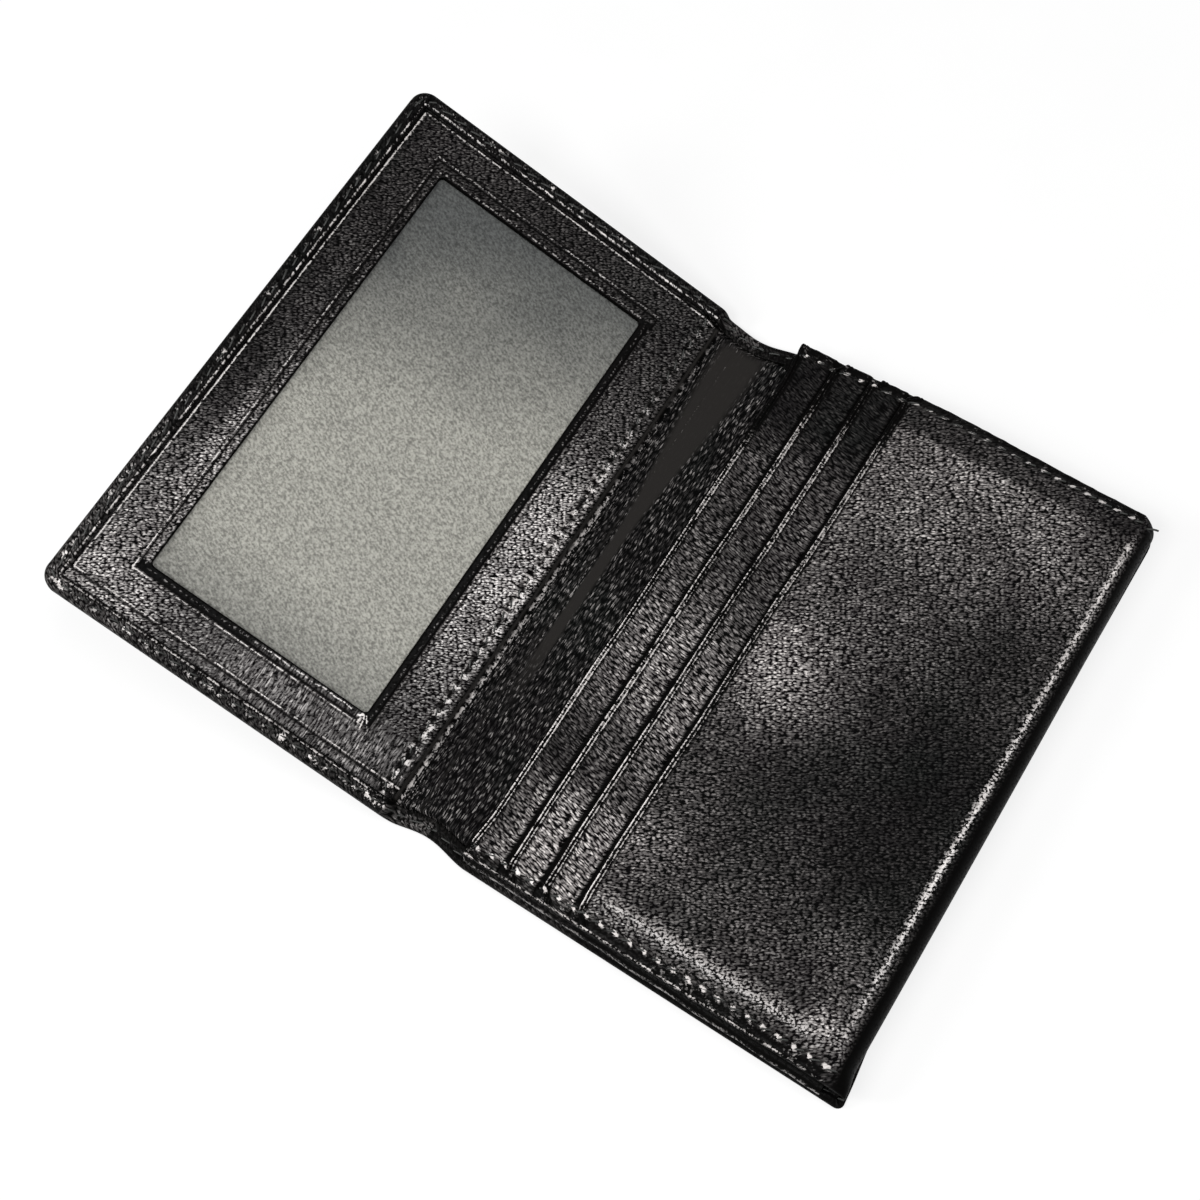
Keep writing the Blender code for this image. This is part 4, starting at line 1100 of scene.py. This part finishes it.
def strip_loops(layer, rows, shares, far_x):
    """Closed sections of a folded strip, one for each place along the spine's direction."""
    loops = []
    mouth = mouth_line(layer, rows)
    for y, start in zip(rows, mouth):
        x_top = start + FOLD_RADIUS + shares * (far_x - start - FOLD_RADIUS)
        y_top = np.full_like(x_top, y)
        relief, smooth, wear_and_glint = stack_relief(x_top, y_top, start, MOUTHS[layer + 1])
        z_top = layer_top(layer, x_top, y_top) + relief
        thin = STRIP_THICK - 0.25 * float(seam_press(stack_side(start, y)))
        turns = np.radians([170, 140, 110, 90, 70, 40, 10])
        x_nose = start + FOLD_RADIUS - FOLD_RADIUS * np.sin(turns)
        drop = FOLD_RADIUS * np.cos(turns) * np.where(np.cos(turns) < 0, 0.8, 1.0)
        z_nose = z_top[0] - FOLD_RADIUS + drop
        x_under = x_top[::-4]
        z_under = np.minimum(z_top[::-4] - thin, z_top[::-4] - 0.15)
        hidden = len(x_under) + len(turns)
        x = np.concatenate([x_under, x_nose, x_top])
        z = np.concatenate([z_under, z_nose, z_top])
        # Pressed smooth with painted shade, and gloss with painted highlights, for each place of
        # the section.
        press = np.concatenate([np.ones(hidden), smooth])
        glint_and_wear = np.concatenate([np.zeros(hidden), wear_and_glint])
        loops.append(with_wear_and_shade(x, np.full_like(x, y), z, press, glint_and_wear))
    return loops


def make_strip(layer, name, far_x):
    """One folded strip of the stack, with its mouth towards the spine."""
    rows = steps(STACK_LOWER, (STACK_LOWER + 4, 0.16), (46.5, 0.42))
    upper = float(stack_upper(MOUTHS[layer] + 3))
    rows = np.concatenate([rows, steps(46.5, (upper, 0.16))[1:]])
    reach = far_x - MOUTHS[layer] - FOLD_RADIUS
    seen = [(end / reach, apart / reach)
            for end, apart in ((1.7, 0.12), (4.9, 0.35), (6.4, 0.14), (8.2, 0.3))]
    shares = steps(0, *seen, (1, 0.06))
    loops = strip_loops(layer, rows, shares, far_x)
    return sew(name, [loop_patch(loops)], STRIP_LEATHER)


# Front pocket: crowned over the cards inside, and rolled down at the outer edge
def pocket_relief(x, y, shift):
    """How the cards inside lift the front pocket, the ridges along their outline, and the painted
    highlights on those ridges.
    """
    side = stack_side(x, y)
    from_roll = POCKET_OUTER - ROLL_DEPTH - shift - x
    lower = ease((y - STACK_LOWER - 3.2) / 3.0)
    upper = ease((stack_upper(x) - y - 3.4) / 4.2)
    outer = ease((from_roll - 0.2) / 1.6)
    lift = 0.5 * lower * upper * (0.35 + 0.65 * outer)
    from_low = y - STACK_LOWER - 5.0
    in_corner = np.hypot(np.maximum(5.0 - from_low, 0), np.maximum(5.0 - from_roll, 0))
    outline = np.where(in_corner > 0, 5.0 - in_corner, np.minimum(from_low, from_roll))
    ridge = 0.2 * bell(from_low, 1.2) * (0.7 + 0.4 * waves(x, 0, 6.0, 51))
    ridge += 0.12 * bell(from_roll - 1.3, 0.9) * lower * upper
    slow = 0.22 * waves(x, y, 19.0, 52) + 0.08 * waves(x, y, 8.0, 53)
    slow += 0.03 * waves(x, y, 3.0, 54)
    rise = (lift + ridge + slow * ease((side - 3) / 4)) * ease((side - 0.8) / 2.2)
    # Painted highlights along the cards' outline and on the outer ridge.
    rubbed_glint = 0.42 * bell(outline, 1.05) + 0.22 * bell(outline - 1.4, 1.0)
    rubbed_glint *= (0.85 + 0.15 * waves(x, y, 2.4, 55)) * (from_roll > 1.5)
    rubbed_glint *= ease((12 - from_low) / 6) * ease((x - 30) / 3)
    dots = 0.8 + 0.2 * waves(y, 0, 0.55, 56)
    ridge_glint = (0.49 + 0.1 * waves(y, 1, 14.0, 57)) * bell(from_roll + 0.3, 0.6) * dots
    rubbed_glint += ridge_glint * ease((y - STACK_LOWER - 4.2) / 2.6) * upper
    return rise, np.clip(rubbed_glint, 0, 1)


def pocket_section(row, share, flat_x):
    """One closed section of the front pocket, at a place and share of the way along it."""
    roll_x = POCKET_OUTER - ROLL_DEPTH
    shift = 0.95 * share
    narrowed = BACK_SKEW * share + 0.6 * share ** 2 - shift
    start = float(mouth_line(3, np.array(row)))
    moved = start - MOUTHS[3]
    spread = (flat_x - flat_x[0]) / (flat_x[-1] - flat_x[0])
    x = flat_x[0] + moved + (flat_x[-1] - shift - flat_x[0] - moved) * spread
    y = STACK_LOWER + (stack_upper(x) - STACK_LOWER) * share
    relief, smooth, wear_and_glint = stack_relief(x, y, start)
    rise, rubbed_glint = pocket_relief(x, y, shift)
    wear_and_glint = np.maximum(wear_and_glint, rubbed_glint)
    z = layer_top(3, x, y) + relief + rise

    angle = np.radians(np.linspace(6, 90, 15))
    fall = ROLL_RISE + z[-1] - LAYER_TOPS[3]
    flare = 0.7 * (1 - ease(float(stack_side(roll_x, row)) / 5.0))
    rounded = float(rounded_drop(stack_upper(roll_x) - row, 2.2))
    reach = ROLL_DEPTH - narrowed + flare * (row < 0) - rounded
    x_roll = roll_x - shift + reach * np.sin(angle) ** 0.9
    z_roll = z[-1] - fall * (1 - np.cos(angle))
    bumps = 0.05 * waves(row, 0, 0.9, 61) * bell(angle - 0.25, 0.25)
    # Painted highlight carried from the top onto the roll's shoulder.
    edge_glint = wear_and_glint[-1] * bell(x_roll - roll_x + shift - 0.4, 0.55) / bell(0.4, 0.55)

    down = np.linspace(0.08, 1, 9)
    x_wall = x_roll[-1] - (0.6 + flare) * down ** 2
    z_wall = z_roll[-1] - (z_roll[-1] - WALL_FOOT) * down
    outer_x = np.concatenate([x, x_roll, x_wall])
    outer_y = np.append(y, np.full(len(angle) + len(down), y[-1]))
    outer_z = np.concatenate([z, z_roll + bumps, z_wall])

    step_x, step_z = np.gradient(outer_x), np.gradient(outer_z)
    length = np.hypot(step_x, step_z)
    side = stack_side(40.0, float(y[len(y) // 2]))
    thin = INNER_THICK - 0.3 * float(seam_press(side))
    under_x = (outer_x + step_z / length * thin)[::-3]
    under_z = (outer_z - step_x / length * thin)[::-3]
    turns = np.radians([165, 140, 110, 90, 70, 40, 10])
    nose_x = x[0] - FOLD_RADIUS * np.sin(turns)
    nose_z = z[0] - FOLD_RADIUS + FOLD_RADIUS * np.cos(turns)
    hidden = len(under_x) + len(turns)
    # The roll's side is pressed smooth and painted dark down to the table.
    return with_wear_and_shade(
        np.concatenate([under_x, nose_x, outer_x]),
        np.concatenate([outer_y[::-3], np.full(len(turns), y[0]), outer_y]),
        np.concatenate([under_z, nose_z, outer_z]),
        np.concatenate([np.ones(hidden), smooth, ease((angle - 0.2) / 0.4), 1 + 0 * down]),
        np.concatenate([np.zeros(hidden), wear_and_glint, edge_glint, 0 * down]))


def make_front_pocket():
    """Front pocket of the stack."""
    rows = steps(STACK_LOWER, (STACK_LOWER + 4.5, 0.17), (-42.0, 0.3), (42.0, 0.48),
                 (47.5, 0.36), (51.5, 0.17))
    mouth, roll_x = MOUTHS[3], POCKET_OUTER - ROLL_DEPTH
    flat_x = steps(mouth + FOLD_RADIUS, (mouth + 2.2, 0.13), (roll_x - 4, 0.5), (roll_x, 0.25))
    shares = (rows - STACK_LOWER) / (rows[-1] - STACK_LOWER)
    loops = [pocket_section(row, share, flat_x) for row, share in zip(rows, shares)]
    return sew("pocket_front", [loop_patch(loops)], POCKET_LEATHER)


# Gussets: strips folded outwards between the back cover's hem and the stack
def gusset_skin(crest, middle, radius, low, high):
    """One face of a fold's section, from its lower leaf round the crest to its upper leaf."""
    leaf = 46.6
    knee = (leaf + crest) / 2 - 0.6
    bend = [(crest - 1.4 + radius * math.cos(turn) ** 0.8, middle + radius * math.sin(turn))
            for turn in np.radians(np.linspace(-90, 90, 13))]
    return [(leaf, low), (knee, low), *bend, (knee, high), (leaf, high)]


def make_gusset(side, name):
    """One gusset, folded outwards, with a rounded tip at the pocket's mouth."""
    start_x = 7.4
    end_x = 71.3 if side > 0 else 72.9
    sections = []
    for x in steps(start_x, (9.4, 0.2), (end_x, 0.5)):
        tip = float(rounded_drop(x - 7.3, 1.8))
        share = (x - start_x) / (end_x - start_x)
        crest = 51.3 + 0.75 * share * (side < 0) - tip + 0.12 * float(waves(x, 0, 6.0, 71))
        middle = 4.3 + 0.18 * float(waves(x, 3, 9.0, 72))
        outside = gusset_skin(crest, middle, 1.4, 2.95, 5.75)
        inside = gusset_skin(crest, middle, 0.85, 3.5, 5.2)
        y, z = np.array([*outside, *inside[::-1], outside[0]]).T
        wrinkle = 0.06 * waves(np.full(len(z), x), z * 2, 1.4, 73)
        # Painted highlight along the fold's rounded crest; the rest is pressed smooth and painted
        # dark.
        rubbed_glint = bell(y - crest, 0.25) * bell(z - middle - 0.5, 0.4)
        rubbed_glint *= 0.48 + 0.3 * float(waves(x, 5, 1.3, 74))
        sections.append(with_wear_and_shade(np.full(len(z), x), side * (y + wrinkle), z, 0.97, rubbed_glint))
    return sew(name, [grid_patch(np.array(sections))], GUSSET_LEATHER)


# Lining cloths
def make_cloth(name, x_range, y_range, height, seed, place=lay_flat, layer=0):
    """A thin woven sheet laid on what carries it, pressed down at a stack's long edges."""
    x, y = np.meshgrid(np.linspace(*x_range, 40), np.linspace(*y_range, 120))
    lift = 0.02 * waves(x, y, 9.0, seed)
    squeeze = LAYER_SQUEEZE * layer + STACK_SQUEEZE
    lift -= squeeze * seam_press(stack_side(x, y)) * (layer > 0)
    top = with_wear_and_shade(x, y, height + lift)
    under = with_wear_and_shade(x, y, height - CLOTH_THICK + lift)
    return sew(name, sheet_patches(top, under), LINING, place)


# Stitches
def turn_stitches(tree, given, tangent):
    """Rotations that lay stitches along a seam, slanted as sewn and a little unevenly."""
    aligned = add_node(tree, "FunctionNodeAlignRotationToVector", {"Vector": tangent},
                       axis="X", pivot_axis="Z")
    chance = add_node(tree, "FunctionNodeRandomValue", {"Seed": 17}, data_type="FLOAT")
    least, most = [socket for socket in chance.inputs if socket.type == "VALUE"][:2]
    feed(tree, least, maths(tree, "MULTIPLY", given["Wander"], -1.0))
    feed(tree, most, given["Wander"])
    drawn = next(socket for socket in chance.outputs if socket.type == "VALUE")
    turn = add_node(tree, "FunctionNodeAxisAngleToRotation",
                    {"Axis": (0, 0, 1), "Angle": maths(tree, "ADD", given["Slant"], drawn)})
    turned = add_node(tree, "FunctionNodeRotateRotation",
                      {"Rotation": aligned.outputs["Rotation"],
                       "Rotate By": turn.outputs["Rotation"]}, rotation_space="LOCAL")
    return turned.outputs["Rotation"]


def shape_stitch(tree, given):
    """One stitch: a short arched thread with closed ends."""
    half = maths(tree, "MULTIPLY", given["Stitch Length"], 0.5)
    back = maths(tree, "MULTIPLY", half, -1.0)
    dip = maths(tree, "MULTIPLY", given["Arch"], -1.0)
    arch = add_node(tree, "GeometryNodeCurveQuadraticBezier", {"Resolution": 5})
    for label, along, height in (("Start", back, dip), ("Middle", 0.0, given["Arch"]),
                                 ("End", half, dip)):
        spot = add_node(tree, "ShaderNodeCombineXYZ", {0: along, 2: height})
        feed(tree, arch.inputs[label], spot.outputs[0])
    ring = add_node(tree, "GeometryNodeCurvePrimitiveCircle",
                    {"Resolution": 6, "Radius": maths(tree, "MULTIPLY", given["Thread"], 0.5)},
                    mode="RADIUS")
    thread = add_node(tree, "GeometryNodeCurveToMesh",
                      {"Curve": arch.outputs["Curve"], "Profile Curve": ring.outputs["Curve"],
                       "Fill Caps": True})
    return thread.outputs["Mesh"]


def build_stitch_tree():
    """Stitches along a seam, one at every pitch."""
    tree = bpy.data.node_groups.new("seam_stitches", "GeometryNodeTree")
    sockets = tree.interface
    sockets.new_socket(name="Seam", in_out="INPUT", socket_type="NodeSocketGeometry")
    for label, value in (("Pitch", 0.0026), ("Stitch Length", 0.002), ("Thread", 0.00036),
                         ("Arch", 0.00025), ("Slant", 0.2), ("Wander", 0.08)):
        socket = sockets.new_socket(name=label, in_out="INPUT", socket_type=FLOAT)
        socket.default_value = value
    sockets.new_socket(name="Finish", in_out="INPUT", socket_type="NodeSocketMaterial")
    sockets.new_socket(name="Stitches", in_out="OUTPUT", socket_type="NodeSocketGeometry")
    given, result = tree.nodes.new("NodeGroupInput").outputs, tree.nodes.new("NodeGroupOutput")
    curve = add_node(tree, "GeometryNodeMeshToCurve", {"Mesh": given["Seam"]})
    spaced = add_node(tree, "GeometryNodeResampleCurve",
                      {"Curve": curve.outputs["Curve"], "Length": given["Pitch"]},
                      mode="LENGTH")
    points = add_node(tree, "GeometryNodeCurveToPoints", {"Curve": spaced.outputs["Curve"]},
                      mode="EVALUATED")
    turned = turn_stitches(tree, given, points.outputs["Tangent"])
    placed = add_node(tree, "GeometryNodeInstanceOnPoints",
                      {"Points": points.outputs["Points"], "Rotation": turned,
                       "Instance": shape_stitch(tree, given)})
    real = add_node(tree, "GeometryNodeRealizeInstances", {0: placed.outputs["Instances"]})
    finish = add_node(tree, "GeometryNodeSetMaterial",
                      {"Geometry": real.outputs[0], "Material": given["Finish"]})
    feed(tree, result.inputs[0], finish.outputs[0])
    return tree


STITCH_TREE = build_stitch_tree()


def make_stitches(name, seams, place, pitch, length, slant=0.2):
    """Thread along seams given as lists of places, made a plain mesh."""
    vertices, edges = [], []
    for seam in seams:
        first = len(vertices)
        vertices += (np.array(seam, float) * MM).tolist()
        edges += [(first + index, first + index + 1) for index in range(len(seam) - 1)]
    mesh = bpy.data.meshes.new(name + "_seam")
    mesh.from_pydata(vertices, edges, [])
    carrier = show(name + "_seam", mesh)
    stitching = carrier.modifiers.new("stitching", "NODES")
    stitching.node_group = STITCH_TREE
    values = {"Pitch": pitch * MM, "Stitch Length": length * MM, "Slant": slant,
              "Finish": THREAD}
    for item in STITCH_TREE.interface.items_tree:
        if item.in_out == "INPUT" and item.name in values:
            stitching[item.identifier] = values[item.name]
    evaluated = carrier.evaluated_get(bpy.context.evaluated_depsgraph_get())
    result = bpy.data.meshes.new_from_object(evaluated)
    bpy.data.objects.remove(carrier)
    spots = np.array([vertex.co for vertex in result.vertices], float) / MM
    result.vertices.foreach_set("co", (place(spots) * MM).astype(np.float32).ravel())
    result.update()
    result.name = name
    result.shade_smooth()
    return show(name, result)


def hem_seam(side):
    """The seam line along a cover half's hem."""
    samples, _, _ = cover_outline(side)
    line = []
    for x, y, inward_x, inward_y, _, _, corner in samples[::3]:
        if side > 0 and corner > 0.35:
            continue
        top = float(hem_top(side, side * x, corner))
        line.append((side * (x + inward_x * HEM_SEAM), y + inward_y * HEM_SEAM,
                     top - HEM_THREAD_SINK))
    return line


def split_far(line, gap=6.0):
    """Cut a seam line where it jumps."""
    runs, run = [], [line[0]]
    for spot in line[1:]:
        if math.dist(spot, run[-1]) > gap:
            runs.append(run)
            run = []
        run.append(spot)
    runs.append(run)
    return runs


# Make the pieces
cover_left = make_cover(-1, "cover_window_side", bend_fold)
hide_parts("front_cover", "spine_cover")
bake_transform(cover_left)

cover_right = make_cover(1, "cover_pocket_side", lay_flat)
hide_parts("back_cover")
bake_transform(cover_right)

window_panel = make_window_panel()
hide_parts("id_window_panel")
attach(window_panel, "front_wing")

spine_strip = make_spine_lining()
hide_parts("spine_lining")
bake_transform(spine_strip)

backing = make_strip(0, "pocket_backing", 69.4)
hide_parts("pocket_backing_panel")
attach(backing, "pocket_stack")
slot_1 = make_strip(1, "card_slot_1", 30.1)
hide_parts("slot_1_panel")
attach(slot_1, "pocket_stack")
slot_2 = make_strip(2, "card_slot_2", 36.8)
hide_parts("slot_2_panel")
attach(slot_2, "pocket_stack")
pocket_front = make_front_pocket()
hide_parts("front_pocket")
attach(pocket_front, "pocket_stack")

for side, name, node in ((1, "gusset_fold_upper", "gusset_upper"),
                         (-1, "gusset_fold_lower", "gusset_lower")):
    gusset = make_gusset(side, name)
    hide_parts(node)
    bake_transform(gusset)

window_cloth = make_cloth("window_pocket_cloth", (-72.0, -9.1), (-51.1, 51.1), 1.79, 81,
                          raise_wing)
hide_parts("id_pocket_lining")
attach(window_cloth, "front_wing")
pocket_cloth = make_cloth("main_pocket_cloth", (9.1, 71.7), (-51.1, 51.1), 1.79, 82)
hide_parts("main_pocket_lining")
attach(pocket_cloth, "back_wing")
skirt_1 = make_cloth("slot_1_cloth", (30.4, 62.1), (-49.5, 50.3), 7.05, 83, layer=1)
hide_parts("slot_1_skirt")
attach(skirt_1, "pocket_stack")
skirt_2 = make_cloth("slot_2_cloth", (37.1, 68.8), (-49.5, 50.2), 7.88, 84, layer=2)
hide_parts("slot_2_skirt")
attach(skirt_2, "pocket_stack")

for node, finish in (("id_window_film", FILM), ("front_board", BOARD), ("back_board", BOARD)):
    materials = frame["nodes"][node].data.materials
    materials.clear()
    materials.append(finish)

hem_stitches = make_stitches("hem_stitches_window_side", [hem_seam(-1)], bend_fold,
                             HEM_PITCH, 2.1)
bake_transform(hem_stitches)
hem_right = make_stitches("hem_stitches_pocket_side", split_far(hem_seam(1)), lay_flat,
                          HEM_PITCH, 2.1)
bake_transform(hem_right)
panel_line = [(PANEL_SEAM - SPINE_HALF, y, PANEL_TOP - THREAD_SINK)
              for y in steps(48.45, (-47.9, 1.0))]
panel_stitches = make_stitches("panel_stitches", [panel_line], raise_wing, PANEL_PITCH,
                               1.6, slant=0.5)
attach(panel_stitches, "front_wing")
stack_lines = []
for edge in (1, -1):
    line = []
    for x in steps(9.3, (73.0, 0.5)):
        layer = max(sum(x > mouth + 0.8 for mouth in MOUTHS) - 1, 0)
        y = stack_upper(x) - STACK_SEAM if edge > 0 else STACK_LOWER + STACK_SEAM
        line.append((x, float(y), float(layer_top(layer, x, y)) - THREAD_SINK))
    stack_lines.append(line)
stack_stitches = make_stitches("stack_stitches", stack_lines, lay_flat, STACK_PITCH,
                               1.8, slant=0.35)
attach(stack_stitches, "pocket_stack")


# Floor, lamps, world and camera
def seen_rays(tree):
    """Rays that see the surroundings as they look, and the mirrored ones among them."""
    paths = add_node(tree, "ShaderNodeLightPath").outputs
    mirrored = paths["Is Glossy Ray"]
    seen = maths(tree, "ADD", paths["Is Camera Ray"], mirrored)
    return maths(tree, "ADD", seen, paths["Is Transmission Ray"], clamp=True), mirrored


FLOOR_HEIGHT = -0.00003


def make_floor():
    """Pale floor that keeps the holder's shadow."""
    mesh = bpy.data.meshes.new("floor")
    mesh.from_pydata([(x, y, FLOOR_HEIGHT) for x, y in ((-3, -3), (3, -3), (3, 3), (-3, 3))],
                     [], [(0, 1, 2, 3)])
    material = bpy.data.materials.new("pale_floor")
    material.use_nodes = True
    tree = material.node_tree
    tree.nodes.clear()
    speckled = shade_between(tree, noise(tree, object_place(tree), 60.0),
                             (0.27, 0.27, 0.27, 1), (0.29, 0.29, 0.29, 1))
    seen, mirrored = seen_rays(tree)
    seen = maths(tree, "SUBTRACT", seen, maths(tree, "MULTIPLY", mirrored, 0.5))
    paint = add_node(tree, "ShaderNodeBsdfDiffuse", {"Color": speckled})
    glow = add_node(tree, "ShaderNodeEmission",
                    {"Strength": maths(tree, "MULTIPLY", seen, 0.74)})
    both = add_node(tree, "ShaderNodeAddShader", {0: paint.outputs[0], 1: glow.outputs[0]})
    add_node(tree, "ShaderNodeOutputMaterial", {"Surface": both.outputs[0]})
    mesh.materials.append(material)
    floor = show("floor", mesh)


def make_lamp(name, direction, distance, size, power):
    """A softbox in a direction from the holder, turned to it."""
    light = bpy.data.lights.new(name, "AREA")
    light.shape = "RECTANGLE"
    light.size, light.size_y = size
    light.energy = power
    lamp = show(name, light)
    way = Vector(direction).normalized()
    lamp.location = way * distance
    lamp.rotation_euler = way.to_track_quat("Z", "Y").to_euler()


def make_world():
    """White surroundings, dimmer as a light than they look."""
    world = bpy.data.worlds.new("studio")
    bpy.context.scene.world = world
    world.use_nodes = True
    tree = world.node_tree
    background = next(node for node in tree.nodes if node.type == "BACKGROUND")
    background.inputs["Color"].default_value = (1, 1, 1, 1)
    seen, mirrored = seen_rays(tree)
    plain = maths(tree, "MULTIPLY_ADD", mirrored, -0.6, seen)
    feed(tree, background.inputs["Strength"],
         maths(tree, "MULTIPLY_ADD", plain, 0.8, 0.2, clamp=True))


def make_camera():
    """The camera, at the photograph's place and angle."""
    camera = show("camera", bpy.data.cameras.new("camera"))
    camera.data.lens = 54
    camera.data.sensor_width = 36
    camera.data.clip_start = 0.01
    camera.data.clip_end = 20
    right = Vector((0.82784, 0.54435, -0.13553))
    down = Vector((0.47177, -0.8063, -0.3568))
    forward = Vector((-0.30351, 0.23143, -0.9243))
    turn = Matrix((right, -down, -forward)).transposed()
    camera.matrix_world = Matrix.Translation((0.09207, -0.07196, 0.27648)) @ turn.to_4x4()
    bpy.context.scene.camera = camera


make_floor()
make_world()
make_camera()
make_lamp("key_softbox", (0.38, 0.10, 0.92), 0.7, (0.26, 0.26), 1.7)
make_lamp("front_softbox", (-0.12, -0.46, 0.88), 0.7, (0.36, 0.16), 1.9)
make_lamp("side_softbox", (-0.62, -0.5, 0.6), 0.7, (0.2, 0.2), 1.6)
bpy.context.scene.view_settings.view_transform = "Standard"
